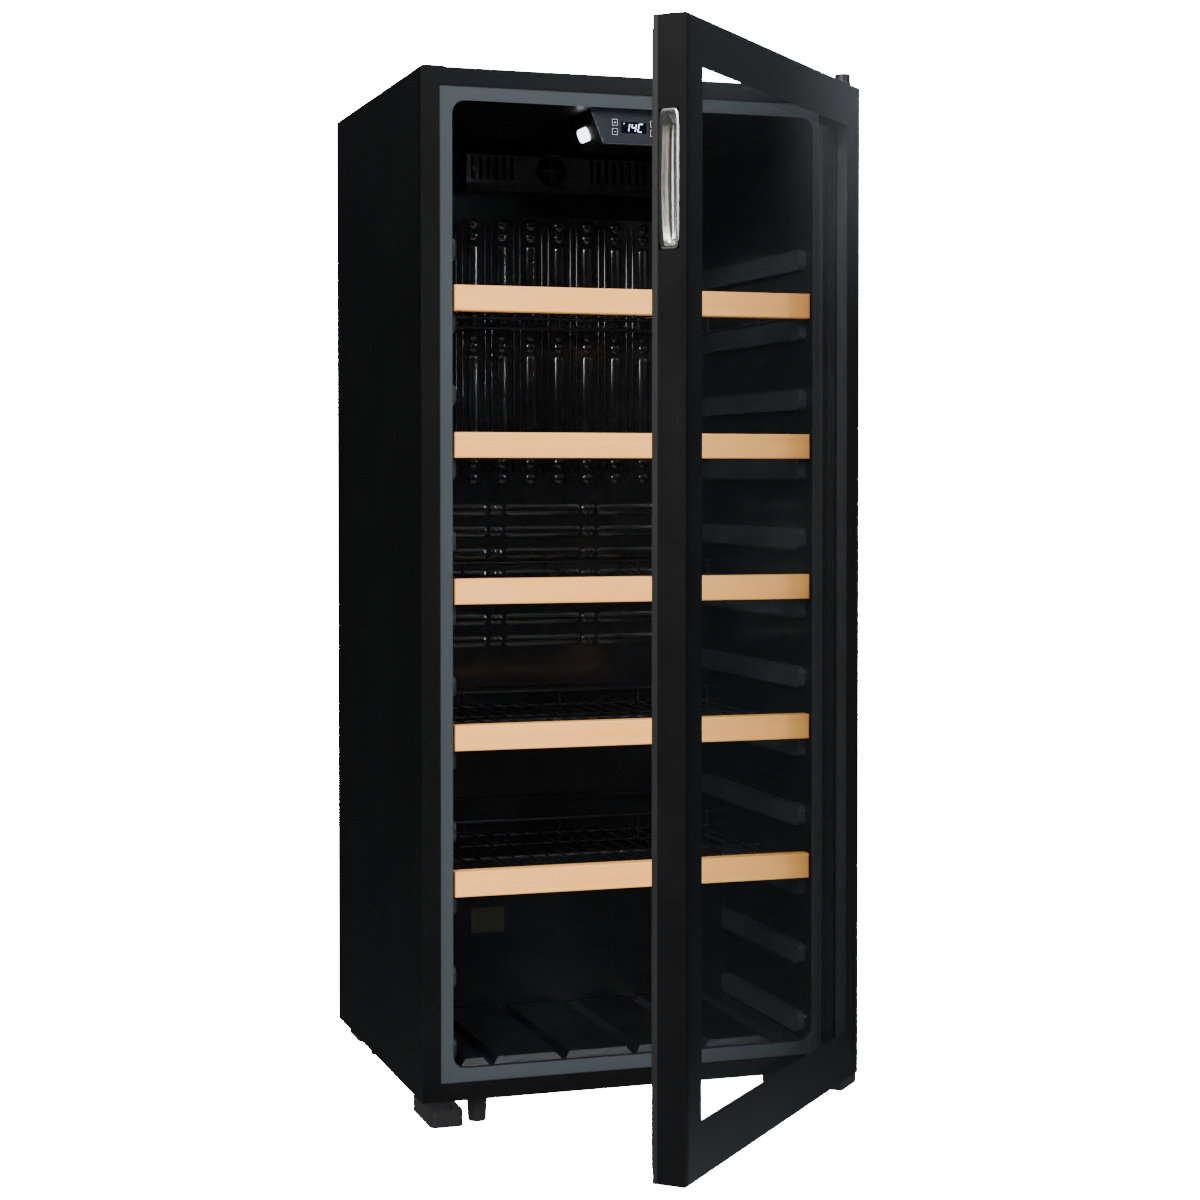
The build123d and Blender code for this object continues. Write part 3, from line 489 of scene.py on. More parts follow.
def pick(piece, test, kind="FACE"):
    """Goes into edit mode with the faces or edges that pass the test selected."""
    alone(piece)
    bpy.ops.object.mode_set(mode="EDIT")
    bpy.ops.mesh.select_mode(type=kind)
    bpy.ops.mesh.select_all(action="DESELECT")
    bpy.ops.object.mode_set(mode="OBJECT")
    mesh = piece.data
    if kind == "FACE":
        for face in mesh.polygons:
            face.select = bool(test(face))
    else:
        for edge in mesh.edges:
            a, b = (mesh.vertices[i].co for i in edge.vertices)
            edge.select = bool(test(a, b))
    bpy.ops.object.mode_set(mode="EDIT")


def done():
    bpy.ops.object.mode_set(mode="OBJECT")


def soften(piece, width, segments=3, angle=35.0):
    """Rounds every edge sharper than the angle, and smooths the shading."""
    bevel = piece.modifiers.new("edge", "BEVEL")
    bevel.width = width
    bevel.segments = segments
    bevel.limit_method = "ANGLE"
    bevel.angle_limit = math.radians(angle)
    apply_all(piece)
    smooth(piece)


def apply_all(piece):
    alone(piece)
    for modifier in list(piece.modifiers):
        bpy.ops.object.modifier_apply(modifier=modifier.name)


def smooth(piece, angle=35.0):
    alone(piece)
    bpy.ops.object.shade_smooth_by_angle(angle=math.radians(angle))


def tidy(piece, merge=0.00001):
    """Merges doubles and turns every face outwards."""
    alone(piece)
    bpy.ops.object.mode_set(mode="EDIT")
    bpy.ops.mesh.select_all(action="SELECT")
    bpy.ops.mesh.remove_doubles(threshold=merge)
    bpy.ops.mesh.normals_make_consistent(inside=False)
    done()


def copy_to(piece, name, shift):
    """A copy with its own mesh, moved by shift."""
    other = piece.copy()
    other.data = piece.data.copy()
    other.name = other.data.name = name
    bpy.context.scene.collection.objects.link(other)
    other.location = Vector(other.location) + Vector(shift)
    settle(other)
    return other


def joined(name, pieces):
    alone(*pieces)
    bpy.ops.object.join()
    piece = bpy.context.object
    piece.name = piece.data.name = name
    return piece


def place(piece, body, material, slot, *instead_of):
    """Finishes a piece: its material, its body and the CAD nodes it stands for; the slot argument is not
    used.
    """
    settle(piece)
    piece.data.materials.clear()
    piece.data.materials.append(material)
    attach(piece, body)
    if instead_of:
        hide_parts(*instead_of)
    return piece


def ring(name, low, high, width):
    """A rectangular frame that faces along Y, between two corners, of one width all round."""
    piece = block(name, low, high)
    pick(piece, lambda face: abs(face.normal.y) > 0.9)
    bpy.ops.mesh.inset(thickness=width, depth=0.0)
    bpy.ops.mesh.bridge_edge_loops()
    done()
    return piece


def hang_on_door(piece):
    """Turns a piece drawn on the door's own axes, x to the free edge and y outwards, onto the door."""
    piece.location = HINGE
    piece.rotation_euler = (0.0, 0.0, math.pi + DOOR_TURN)
    settle(piece)
    return piece


def tube(name, points, radius, body, material, slot):
    """A bent pipe on a smooth line through the points' reach."""
    line = bpy.data.curves.new(name, "CURVE")
    line.dimensions = "3D"
    line.bevel_depth = radius
    line.bevel_resolution = 5
    line.use_fill_caps = True
    spline = line.splines.new("NURBS")
    spline.points.add(len(points) - 1)
    for point, spot in zip(spline.points, points):
        point.co = (*spot, 1.0)
    spline.order_u = 3
    spline.use_endpoint_u = True
    spline.resolution_u = 10
    holder = bpy.data.objects.new(name, line)
    bpy.context.scene.collection.objects.link(holder)
    alone(holder)
    bpy.ops.object.convert(target="MESH")
    piece = bpy.context.object
    tidy(piece)
    smooth(piece, 50.0)
    return place(piece, body, material, slot)


def loose_places(node):
    """The centre and the thin axis of each separate solid of a CAD node, from a merged copy."""
    copy = copy_to(NODES[node], "loose", (0, 0, 0))
    copy.parent = None
    tidy(copy)
    alone(copy)
    bpy.ops.mesh.separate(type="LOOSE")
    parts = list(bpy.context.selected_objects)
    found = []
    for part in parts:
        corners = [Vector(v.co) for v in part.data.vertices]
        low = Vector([min(c[i] for c in corners) for i in range(3)])
        high = Vector([max(c[i] for c in corners) for i in range(3)])
        size = high - low
        found.append(((low + high) / 2, min(range(3), key=lambda i: size[i])))
    alone(*parts)
    bpy.ops.object.delete()
    return found


def middle_of(node):
    low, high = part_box(node)
    return (low + high) / 2


# ---------------------------------------------------------------- settings
def colour_setting(name, description, default):
    return bpy.props.FloatVectorProperty(
        name=name, description=description, default=default, subtype="COLOR", size=3, min=0.0, max=1.0
    )


def length_setting(name, description, default):
    return bpy.props.FloatProperty(
        name=name, description=description, default=default, subtype="DISTANCE", unit="LENGTH", min=0.0
    )


def level_setting(name, description, default):
    return bpy.props.FloatProperty(name=name, description=description, default=default, min=0.0)


class CoolerFinishes(bpy.types.PropertyGroup):
    casing: colour_setting("Casing", "Paint of the steel casing", (0.002, 0.002, 0.0021))
    liner: colour_setting("Liner", "Plastic of the inner liner", (0.0045, 0.005, 0.006))
    beech: colour_setting("Beech", "Light wood of the shelf fronts", (1.0, 0.46, 0.11))
    beech_grain: colour_setting("Beech grain", "Darker bands of the wood", (0.96, 0.37, 0.085))
    plastic: colour_setting("Black plastic", "Moulded black parts", (0.008, 0.008, 0.0085))
    # the rim colour is paler than the liner plastic: a painted sheen on the flat front ring
    rim: colour_setting("Liner rim", "Satin rim round the opening", (0.030, 0.037, 0.041))
    # the rails are the liner plastic drawn several times lighter: a painted highlight standing in for glints
    # on their front ends
    rails: colour_setting("Shelf rails", "Moulded rails on the side walls", (0.026, 0.032, 0.037))
    profile: colour_setting("Door profile", "Anodised door frame", (0.0035, 0.0035, 0.0038))
    chrome: colour_setting("Chrome", "Plating of the finger pull", (0.58, 0.565, 0.54))


class CoolerDetails(bpy.types.PropertyGroup):
    temperature: bpy.props.IntProperty(
        name="Temperature", description="Number on the display", default=14, min=5, max=20
    )
    digit_height: length_setting("Digit height", "Height of the display's digits", 0.0105)
    glow: level_setting("Glow", "Brightness of the display", 4.0)
    lamp: level_setting("Lamp", "Brightness of the lamp lens", 5.0)
    channel_pitch: length_setting("Channel pitch", "Between the evaporator's columns", 0.0449)
    pull_rim: length_setting("Pull rim", "Width of the finger pull's rim", 0.0032)
    gasket_ribs: bpy.props.IntProperty(
        name="Gasket folds", description="Folds in the door gasket", default=2, min=1, max=3
    )


class CoolerStage(bpy.types.PropertyGroup):
    floor: colour_setting("Floor", "The plain floor sheet", (0.86, 0.86, 0.86))
    lens: bpy.props.FloatProperty(
        name="Lens", description="Focal length of the camera", default=71.16, unit="CAMERA", min=10.0
    )
    light: level_setting("Light", "Strength of the soft lights", 1.0)


# ---------------------------------------------------------------- casing
class COOLER_OT_casing(bpy.types.Operator):
    """Paint the steel casing and finish the insulation and covers"""

    bl_idname = "cooler.casing"
    bl_label = "Casing"

    def execute(self, context):
        colours = context.scene.cooler_finishes
        paint = satin_paint("Casing_Paint", colours.casing, front=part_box("left_side_panel")[0].y + 0.5 * MM)
        dress(paint, "left_side_panel", "right_side_panel", "top_panel")
        dress(satin_paint("Rear_Paint", scaled(colours.casing, 1.6), 0.55), "rear_panel", "base_plate")
        dress(blown_foam("Foam", (0.62, 0.5, 0.26)), "insulation_foam")
        plastic = moulded("Cover_Plastic", colours.plastic)
        dress(plastic, "top_blanking_cover", "lower_left_corner_block", "top_hinge_cap", "door_hole_plug")
        return {"FINISHED"}


class COOLER_OT_screws(bpy.types.Operator):
    """Turn the pan-head screws with their cross recesses"""

    bl_idname = "cooler.screws"
    bl_label = "Screws"

    def execute(self, context):
        radius, height = 4.0 * MM, 2.0 * MM
        head = start(
            bpy.ops.mesh.primitive_cylinder_add, "screw", vertices=28, radius=radius, depth=height
        )
        pick(head, lambda face: face.normal.z > 0.9)
        bpy.ops.mesh.bevel(offset=0.8 * MM, segments=3, affect="EDGES")
        done()
        for turn in (0.0, math.pi / 2):
            slot = block("slot", (-2.3 * MM, -0.42 * MM, -0.1 * MM), (2.3 * MM, 0.42 * MM, 2.0 * MM))
            slot.rotation_euler.z = turn
            settle(slot)
            cut = head.modifiers.new("slot", "BOOLEAN")
            cut.operation = "DIFFERENCE"
            cut.object = slot
            apply_all(head)
            bpy.data.objects.remove(slot)
        heads = []
        for centre, axis in loose_places("panel_screws"):
            other = copy_to(head, "screw_head", (0, 0, 0))
            if axis == 1:
                away = -1.0 if centre.y < middle_of("air_duct_cover").y else 1.0
                other.rotation_euler.x = -away * math.pi / 2
            other.rotation_euler.rotate_axis("Z", 0.6 * len(heads))
            other.location = centre
            settle(other)
            heads.append(other)
        bpy.data.objects.remove(head)
        heads = joined("screw_heads", heads)
        smooth(heads, 30.0)
        zinc = spangled_zinc("Screw_Zinc", (0.16, 0.16, 0.165))
        place(heads, "cabinet", zinc, "zinc", "panel_screws")
        return {"FINISHED"}


# ---------------------------------------------------------------- inside
class COOLER_OT_liner(bpy.types.Operator):
    """Finish the moulded liner, its rails and the label plate"""

    bl_idname = "cooler.liner"
    bl_label = "Liner"

    def execute(self, context):
        colours = context.scene.cooler_finishes
        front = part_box("liner")[0].y
        # faces before the liner's front get the rim colour, a painted sheen
        liner = sheet_moulded_liner("Liner_Plastic_Painted_Rim_Sheen", colours.liner, colours.rim, front + 4 * MM)
        dress(liner, "liner")
        # the rails' lighter colour is a painted highlight, and their faces before front take the painted rim
        # sheen
        rails = sheet_moulded_liner("Rail_Plastic_Painted_Highlight", colours.rails, colours.rim, front, 0.36)
        dress(rails, "shelf_rails")
        dress(blank_foil("Label_Foil", (0.05, 0.048, 0.035)), "blank_label_plate")
        dress(moulded("Probe_Plastic", colours.plastic, 0.4), "temperature_probe")
        return {"FINISHED"}


def capsule(name, x, z, half_length, radius, upright, low, height):
    """A low ridge with round ends on a plate that faces the front, its crown pulled in."""
    piece = start(
        bpy.ops.mesh.primitive_cylinder_add,
        name,
        vertices=20,
        radius=radius,
        depth=height,
        location=(x, low - height / 2, z),
        rotation=(math.pi / 2, 0.0, 0.0),
    )
    settle(piece)
    if half_length > radius:
        stretch = half_length - radius
        for vertex in piece.data.vertices:
            if upright:
                vertex.co.z += stretch if vertex.co.z > z else -stretch
            else:
                vertex.co.x += stretch if vertex.co.x > x else -stretch
    pick(piece, lambda face: face.normal.y < -0.9)
    bpy.ops.mesh.inset(thickness=radius * 0.32, depth=0.0)
    bpy.ops.transform.translate(value=(0.0, -height * 0.55, 0.0))
    bpy.ops.mesh.inset(thickness=radius * 0.3, depth=0.0)
    bpy.ops.transform.translate(value=(0.0, -height * 0.2, 0.0))
    done()
    return piece


class COOLER_OT_evaporator(bpy.types.Operator):
    """Press the evaporator plate: upright channels with studs above, level channels with studs below"""

    bl_idname = "cooler.evaporator"
    bl_label = "Evaporator"

    def execute(self, context):
        details = context.scene.cooler_details
        low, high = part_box("evaporator_plate")
        face = low.y + 2.6 * MM
        plate = block("evaporator_panel", (low.x, face, low.z), (high.x, face + 1.4 * MM, high.z))
        pick(plate, lambda f: abs(f.normal.y) > 0.9)
        bpy.ops.mesh.inset(thickness=4 * MM, depth=0.0)
        done()
        pieces = [plate]
        centre = (low.x + high.x) / 2
        columns = [centre + details.channel_pitch * (k - 4.5) + 2 * MM for k in range(10)]
        top = high.z
        stud = 7.6 * MM
        height = 2.1 * MM

        def ridge(x, z, half, radius, upright, shorter=None):
            """A pressed ridge, with a narrow core on its crown that is shorter at each end."""
            pieces.append(capsule("ridge", x, z, half, radius, upright, face, height))
            if shorter is not None:
                crown = face - height * 0.6
                core = capsule("core", x, z, half - shorter, 2.2 * MM, upright, crown, 1.0 * MM)
                pieces.append(core)

        for x in columns:
            for drop in (12, 30, 196, 370, 393):
                ridge(x, top - drop * MM, stud, stud, True)
            for first, last in ((41, 186), (207, 360)):
                ridge(x, top - (first + last) / 2 * MM, (last - first) / 2 * MM, stud, True, 6 * MM)
        for x in [(a + b) / 2 for a, b in zip(columns, columns[1:])]:
            for side in (-5 * MM, 5 * MM):
                web = capsule("web", x + side, top - 200 * MM, 186 * MM, 2.0 * MM, True, face, 1.3 * MM)
                pieces.append(web)

        left, right = low.x + 50 * MM, high.x - 50 * MM
        gaps = (centre - 75 * MM, centre + 71 * MM)
        spans = (
            (left, gaps[0] - 13 * MM),
            (gaps[0] + 13 * MM, gaps[1] - 13 * MM),
            (gaps[1] + 13 * MM, right),
        )
        studs = [low.x + 22 * MM, low.x + 38 * MM, high.x - 38 * MM]
        studs += [gap + side for gap in gaps for side in (-4 * MM, 4 * MM)]
        highest = low.z + 0.44 * (high.z - low.z) - 40 * MM
        for row in range(7):
            z = highest - 33 * MM * row
            for first, last in spans:
                ridge((first + last) / 2, z, (last - first) / 2, 8.2 * MM, False, 7 * MM)
            for x in studs:
                ridge(x, z, stud, stud, False)
        panel = joined("evaporator_panel", pieces)
        smooth(panel, 40.0)
        gloss = enamel("Evaporator_Gloss", (0.009, 0.0095, 0.0105))
        place(panel, "cabinet", gloss, "evaporator_metal", "evaporator_plate")
        return {"FINISHED"}


class COOLER_OT_air_duct(bpy.types.Operator):
    """Finish the air duct, its fan and its housing"""

    bl_idname = "cooler.air_duct"
    bl_label = "Air duct"

    def execute(self, context):
        colours = context.scene.cooler_finishes
        dress(enamel("Duct_Gloss", scaled(colours.plastic, 2.2), 0.2), "air_duct_cover")
        dress(moulded("Fan_Plastic", colours.plastic, 0.4), "fan_shroud", "fan_impeller")
        return {"FINISHED"}


class COOLER_OT_shelves(bpy.types.Operator):
    """Finish the beech fronts and the coated wire grids"""

    bl_idname = "cooler.shelves"
    bl_label = "Shelves"

    def execute(self, context):
        colours = context.scene.cooler_finishes
        wood = oiled_beech("Beech", colours.beech, colours.beech_grain)
        wire = dipped_wire("Shelf_Wire", (0.006, 0.006, 0.007))
        for level in range(1, 6):
            dress(wood, f"shelf_{level}_front")
            dress(wire, f"shelf_{level}_grid")
        return {"FINISHED"}


# ---------------------------------------------------------------- controls
SEGMENTS = {
    "0": "abcdef",
    "1": "bc",
    "2": "abged",
    "3": "abgcd",
    "4": "fgbc",
    "5": "afgcd",
    "6": "afgedc",
    "7": "abc",
    "8": "abcdefg",
    "9": "abcdfg",
    "C": "adef",
}
SEGMENT_PLACES = {
    "a": (0.0, 1.0),
    "b": (1.0, 0.5),
    "c": (1.0, -0.5),
    "d": (0.0, -1.0),
    "e": (-1.0, -0.5),
    "f": (-1.0, 0.5),
    "g": (0.0, 0.0),
}


def segment_digits(text, x, z, height, face):
    """The lit bars of a segment display, leaning to the right, with a small dot before them."""
    half, reach, thick = height / 2, height * 0.27, height * 0.052
    start_x = x - (len(text) - 1) * height * 0.45
    spots = [(start_x - height * 0.5, z + half, thick, thick)]
    for number, sign in enumerate(text):
        for lit in SEGMENTS[sign]:
            across, up = SEGMENT_PLACES[lit]
            level = across == 0.0
            long = (reach if level else half / 2) - thick * 0.9
            bar_x = start_x + number * height * 0.9 + across * reach
            spots.append((bar_x, z + up * half, long if level else thick, thick if level else long))
    bars = []
    for bar_x, bar_z, half_x, half_z in spots:
        low = (bar_x - half_x, face, bar_z - half_z)
        bar = block("segment", low, (bar_x + half_x, face + 0.08 * MM, bar_z + half_z))
        soften(bar, thick * 0.35, 2)
        apply_all(bar)
        for vertex in bar.data.vertices:
            vertex.co.x += (vertex.co.z - z) * 0.16
        bars.append(bar)
    return joined("display_digits", bars)


class COOLER_OT_controls(bpy.types.Operator):
    """Finish the control panel and light its display and lamps"""

    bl_idname = "cooler.controls"
    bl_label = "Controls"

    def execute(self, context):
        colours = context.scene.cooler_finishes
        details = context.scene.cooler_details
        dress(moulded("Panel_Plastic", colours.plastic, 0.35), "control_housing")
        dress(moulded("Panel_Face", (0.016, 0.019, 0.024), 0.36, 0.3, 0.06), "control_fascia")
        dress(smoked_window("Display_Window", (0.002, 0.0025, 0.010)), "display_module")
        dress(glowing("Lamp_Lens", (0.85, 0.93, 1.0), details.lamp), "lamp_lenses")
        key = smoked_window("Key_Gloss", (0.007, 0.0075, 0.009))
        for index in range(1, 5):
            dress(key, f"control_key_{index}")

        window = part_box("display_module")
        face = window[0].y
        centre = middle_of("display_module")
        key_low, key_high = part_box("control_key_1")
        row = (key_low.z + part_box("control_key_2")[1].z) / 2
        glow = glowing("Digit_Glow", (0.62, 0.82, 1.0), details.glow)
        text = f"{details.temperature}C"
        digits = segment_digits(text, centre.x, row, details.digit_height, face - 0.06 * MM)
        place(digits, "cabinet", glow, "display")

        mark = glowing("Key_Mark", (0.78, 0.82, 0.86), details.glow * 0.07)
        for index in range(1, 5):
            a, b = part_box(f"control_key_{index}")
            middle = (a + b) / 2
            front = a.y - 0.03 * MM
            low = (a.x + 1.0 * MM, front, a.z + 1.0 * MM)
            high = (b.x - 1.0 * MM, front + 0.06 * MM, b.z - 1.0 * MM)
            bars = [ring("mark_frame", low, high, 0.45 * MM)]
            spans = [(1.5, 0.3)] if index in (1, 3) else [(1.5, 0.3), (0.3, 1.5)]
            for half_x, half_z in spans:
                bar = block(
                    "bar",
                    (middle.x - half_x * MM, front, middle.z - half_z * MM),
                    (middle.x + half_x * MM, front + 0.06 * MM, middle.z + half_z * MM),
                )
                soften(bar, 0.02 * MM, 1)
                bars.append(bar)
            icon = joined(f"key_mark_{index}", bars)
            place(icon, f"control_key_{index}", mark, "display")

        low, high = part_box("control_fascia")
        corners = (low.x, low.y - 0.25 * MM, low.z), (high.x, low.y + 0.6 * MM, high.z)
        outline = ring("panel_outline", *corners, 1.1 * MM)
        slope = 18.0 * MM
        for vertex in outline.data.vertices:
            share = (high.z - vertex.co.z) / (high.z - low.z)
            side = 1.0 if vertex.co.x < centre.x else -1.0
            vertex.co.x += side * slope * share
        soften(outline, 0.15 * MM, 2)
        place(outline, "cabinet", polished_chrome("Outline_Chrome", (0.5, 0.53, 0.56)), "chrome")
        return {"FINISHED"}


# ---------------------------------------------------------------- door
class COOLER_OT_door(bpy.types.Operator):
    """Finish the door's panes, printed border, frame and trims"""

    bl_idname = "cooler.door"
    bl_label = "Door"

    def execute(self, context):
        colours = context.scene.cooler_finishes
        glass = window_glass("Door_Glass", (0.972, 0.982, 0.98))
        dress(glass, "door_outer_glass", "door_inner_glass")
        dress(screen_print("Border_Print", (0.006, 0.006, 0.007)), "door_glass_border")
        profile = satin_paint("Door_Profile", colours.profile, 0.4, 0.16, 0.08)
        dress(profile, "door_frame")
        dress(moulded("Door_Trim", colours.plastic, 0.42), "door_rear_trim")
        spacer = brushed("Spacer_Bar", (0.1, 0.1, 0.105), 0.4, (30.0, 30.0, 900.0))
        dress(spacer, "door_glass_spacer")
        return {"FINISHED"}


class COOLER_OT_gasket(bpy.types.Operator):
    """Fold the door gasket: a base strip, its bellows and the magnet pillow"""

    bl_idname = "cooler.gasket"
    bl_label = "Door gasket"

    def execute(self, context):
        details = context.scene.cooler_details
        low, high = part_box("door_gasket")
        rear = PIN_TO_OUTER_FACE - DOOR_THICKNESS
        first, last = -1.0 * MM, PIN_TO_FREE_EDGE - 12.0 * MM
        folds = details.gasket_ribs
        layers = [(0.0, 18.0, 0.0, 1.2), (3.4, 11.2, 1.2, 4.6), (1.4, 15.2, 4.4, 7.45)]
        step = 3.2 / folds
        layers += [(1.9, 14.2, 1.35 + step * k, 1.35 + step * (k + 0.62)) for k in range(folds)]
        rings = []
        for inset, width, near, far in layers:
            strip = ring(
                "gasket_strip",
                (first + inset * MM, rear - far * MM, low.z + inset * MM),
                (last - inset * MM, rear - near * MM, high.z - inset * MM),
                width * MM,
            )
            soften(strip, min(0.7, (far - near) * 0.3) * MM, 3)
            rings.append(strip)
        gasket = hang_on_door(joined("gasket_bellows", rings))
        smooth(gasket, 50.0)
        rubber = soft_rubber("Gasket_Rubber", (0.008, 0.008, 0.0085))
        place(gasket, "door", rubber, "gasket_rubber", "door_gasket")
        return {"FINISHED"}


class COOLER_OT_finger_pull(bpy.types.Operator):
    """Shape the chromed finger pull: a thin rim round a scoop with one bowed side"""

    bl_idname = "cooler.finger_pull"
    bl_label = "Finger pull"

    def execute(self, context):
        colours = context.scene.cooler_finishes
        details = context.scene.cooler_details
        low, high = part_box("door_handle_recess")
        half_height = (high.z - low.z) / 2
        half_width = 12.5 * MM
        depth = 20.0 * MM
        centre_out = PIN_TO_OUTER_FACE - 12.5 * MM - half_width
        pull = start(
            bpy.ops.mesh.primitive_cylinder_add,
            "finger_pull_cup",
            vertices=96,
            radius=1.0,
            depth=depth,
            rotation=(0.0, math.pi / 2, 0.0),
        )
        settle(pull)

        def squared(value, sharp):
            return math.copysign(abs(value) ** sharp, value)

        for vertex in pull.data.vertices:
            vertex.co.y = squared(vertex.co.y, 0.30) * half_width
            vertex.co.z = squared(vertex.co.z, 0.16) * half_height
        pick(pull, lambda face: face.normal.x > 0.9)
        bpy.ops.mesh.inset(thickness=details.pull_rim * 0.35, depth=0.0)
        bpy.ops.transform.translate(value=(0.7 * MM, 0.0, 0.0))
        bpy.ops.mesh.inset(thickness=details.pull_rim * 0.65, depth=0.0)
        done()
        mouth = next(f for f in pull.data.polygons if f.normal.x > 0.9 and f.select)
        for index in mouth.vertices:
            spot = pull.data.vertices[index].co
            if spot.y < 0.0:
                spot.y *= 1.0 - 0.42 * (spot.z / half_height) ** 2
        steps = (
            (-2.5, 0.97, 0.995),
            (-4.5, 0.93, 0.985),
            (-4.5, 0.84, 0.97),
            (-3.0, 0.68, 0.94),
            (-1.2, 0.45, 0.9),
        )
        alone(pull)
        bpy.ops.object.mode_set(mode="EDIT")
        for sink, narrow, short in steps:
            bpy.ops.mesh.extrude_region_move(TRANSFORM_OT_translate={"value": (sink * MM, 0.0, 0.0)})
            bpy.ops.transform.resize(value=(1.0, narrow, short))
        done()
        apply_all(pull)
        for vertex in pull.data.vertices:
            vertex.co.x += PIN_TO_FREE_EDGE - depth / 2
            vertex.co.y += centre_out
            vertex.co.z += (low.z + high.z) / 2
        smooth(pull, 60.0)
        hang_on_door(pull)
        chrome = polished_chrome("Pull_Chrome", colours.chrome, 0.14)
        place(pull, "door", chrome, "chrome", "door_handle_recess")
        return {"FINISHED"}


# ---------------------------------------------------------------- hinges and feet
class COOLER_OT_hinges(bpy.types.Operator):
    """Finish the hinges and the feet"""

    bl_idname = "cooler.hinges"
    bl_label = "Hinges and feet"

    def execute(self, context):
        colours = context.scene.cooler_finishes
        steel = satin_paint("Hinge_Paint", scaled(colours.casing, 1.3), 0.38, 0.45)
        dress(steel, "top_hinge_bracket", "lower_hinge_bracket")
        plastic = moulded("Foot_Plastic", colours.plastic, 0.5)
        dress(plastic, "front_left_foot", "front_right_foot", "rear_feet", "door_lower_hinge_block")
        dress(moulded("Bush_Nylon", (0.35, 0.34, 0.32), 0.4), "door_hinge_bushes")
        return {"FINISHED"}


# ---------------------------------------------------------------- machine bay
class COOLER_OT_machine_bay(bpy.types.Operator):
    """Finish the compressor, condenser and inlet"""

    bl_idname = "cooler.machine_bay"
    bl_label = "Machine bay"

    def execute(self, context):
        colours = context.scene.cooler_finishes
        dress(enamel("Compressor_Paint", (0.006, 0.006, 0.0065), 0.3), "compressor")
        dress(soft_rubber("Mount_Rubber", (0.012, 0.012, 0.012)), "compressor_mounts")
        dress(moulded("Bay_Plastic", colours.plastic, 0.5), "compressor_terminal_box", "power_inlet")
        dress(moulded("Tray_Plastic", (0.02, 0.02, 0.021), 0.45), "drip_tray", "condenser_clips")
        dress(dull_copper("Drier_Copper", (0.62, 0.3, 0.17)), "filter_drier")
        dress(dipped_wire("Condenser_Coat", (0.008, 0.008, 0.009)), "condenser_coil")
        return {"FINISHED"}


class COOLER_OT_pipes(bpy.types.Operator):
    """Run the refrigerant pipes between the compressor, drier, condenser and evaporator"""

    bl_idname = "cooler.pipes"
    bl_label = "Refrigerant pipes"

    def execute(self, context):
        pump_low, pump_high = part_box("compressor")
        drier_low, drier_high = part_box("filter_drier")
        coil_low, coil_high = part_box("condenser_coil")
        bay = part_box("rear_panel")[0]
        pump = (pump_low + pump_high) / 2
        drier = (drier_low + drier_high) / 2
        copper = dull_copper("Pipe_Copper", (0.62, 0.3, 0.17))
        shelf = pump_low.z + 0.45 * (pump_high.z - pump_low.z)
        line_y = coil_high.y - 9.0 * MM
        runs = {
            "discharge_pipe": (
                (pump.x + 60 * MM, pump_high.y - 20 * MM, shelf),
                (pump.x + 78 * MM, pump_high.y - 4 * MM, shelf + 4 * MM),
                (pump.x + 98 * MM, line_y - 6 * MM, shelf + 30 * MM),
                (coil_high.x - 3 * MM, line_y - 3 * MM, coil_low.z + 6 * MM),
                (coil_high.x - 3 * MM, line_y - 3 * MM, coil_low.z + 34 * MM),
            ),
            "suction_pipe": (
                (pump.x - 62 * MM, pump_high.y - 22 * MM, shelf + 6 * MM),
                (pump.x - 92 * MM, pump_high.y - 12 * MM, shelf + 8 * MM),
                (pump.x - 116 * MM, pump.y + 26 * MM, shelf + 60 * MM),
                (pump.x - 118 * MM, bay.y + 40 * MM, shelf + 96 * MM),
                (pump.x - 118 * MM, bay.y + 3 * MM, shelf + 98 * MM),
            ),
            "drier_inlet_pipe": (
                (drier.x, drier.y, drier_high.z - 6 * MM),
                (drier.x, drier.y, drier_high.z + 22 * MM),
                (drier.x + 2 * MM, line_y - 6 * MM, drier_high.z + 44 * MM),
                (coil_low.x + 10 * MM, line_y - 3 * MM, drier_high.z + 62 * MM),
                (coil_low.x + 6 * MM, line_y - 3 * MM, drier_high.z + 84 * MM),
            ),
        }
        for name, points in runs.items():
            tube(name, points, 3.1 * MM, "cabinet", copper, "copper")
        capillary = [
            (drier.x, drier.y, drier_low.z + 4 * MM),
            (drier.x, drier.y, drier_low.z - 12 * MM),
            (drier.x + 14 * MM, drier.y - 10 * MM, drier_low.z - 18 * MM),
        ]
        for step in range(22):
            angle = step * math.pi / 4
            capillary.append(
                (
                    drier.x + 34 * MM + 17 * MM * math.cos(angle + math.pi),
                    drier.y - 14 * MM + 17 * MM * math.sin(angle + math.pi),
                    drier_low.z - 14 * MM + 1.3 * MM * step,
                )
            )
        capillary += [
            (drier.x + 44 * MM, drier.y - 36 * MM, drier_low.z + 40 * MM),
            (drier.x + 44 * MM, bay.y + 3 * MM, drier_low.z + 70 * MM),
        ]
        tube("capillary_tube", capillary, 1.1 * MM, "cabinet", copper, "copper")
        return {"FINISHED"}


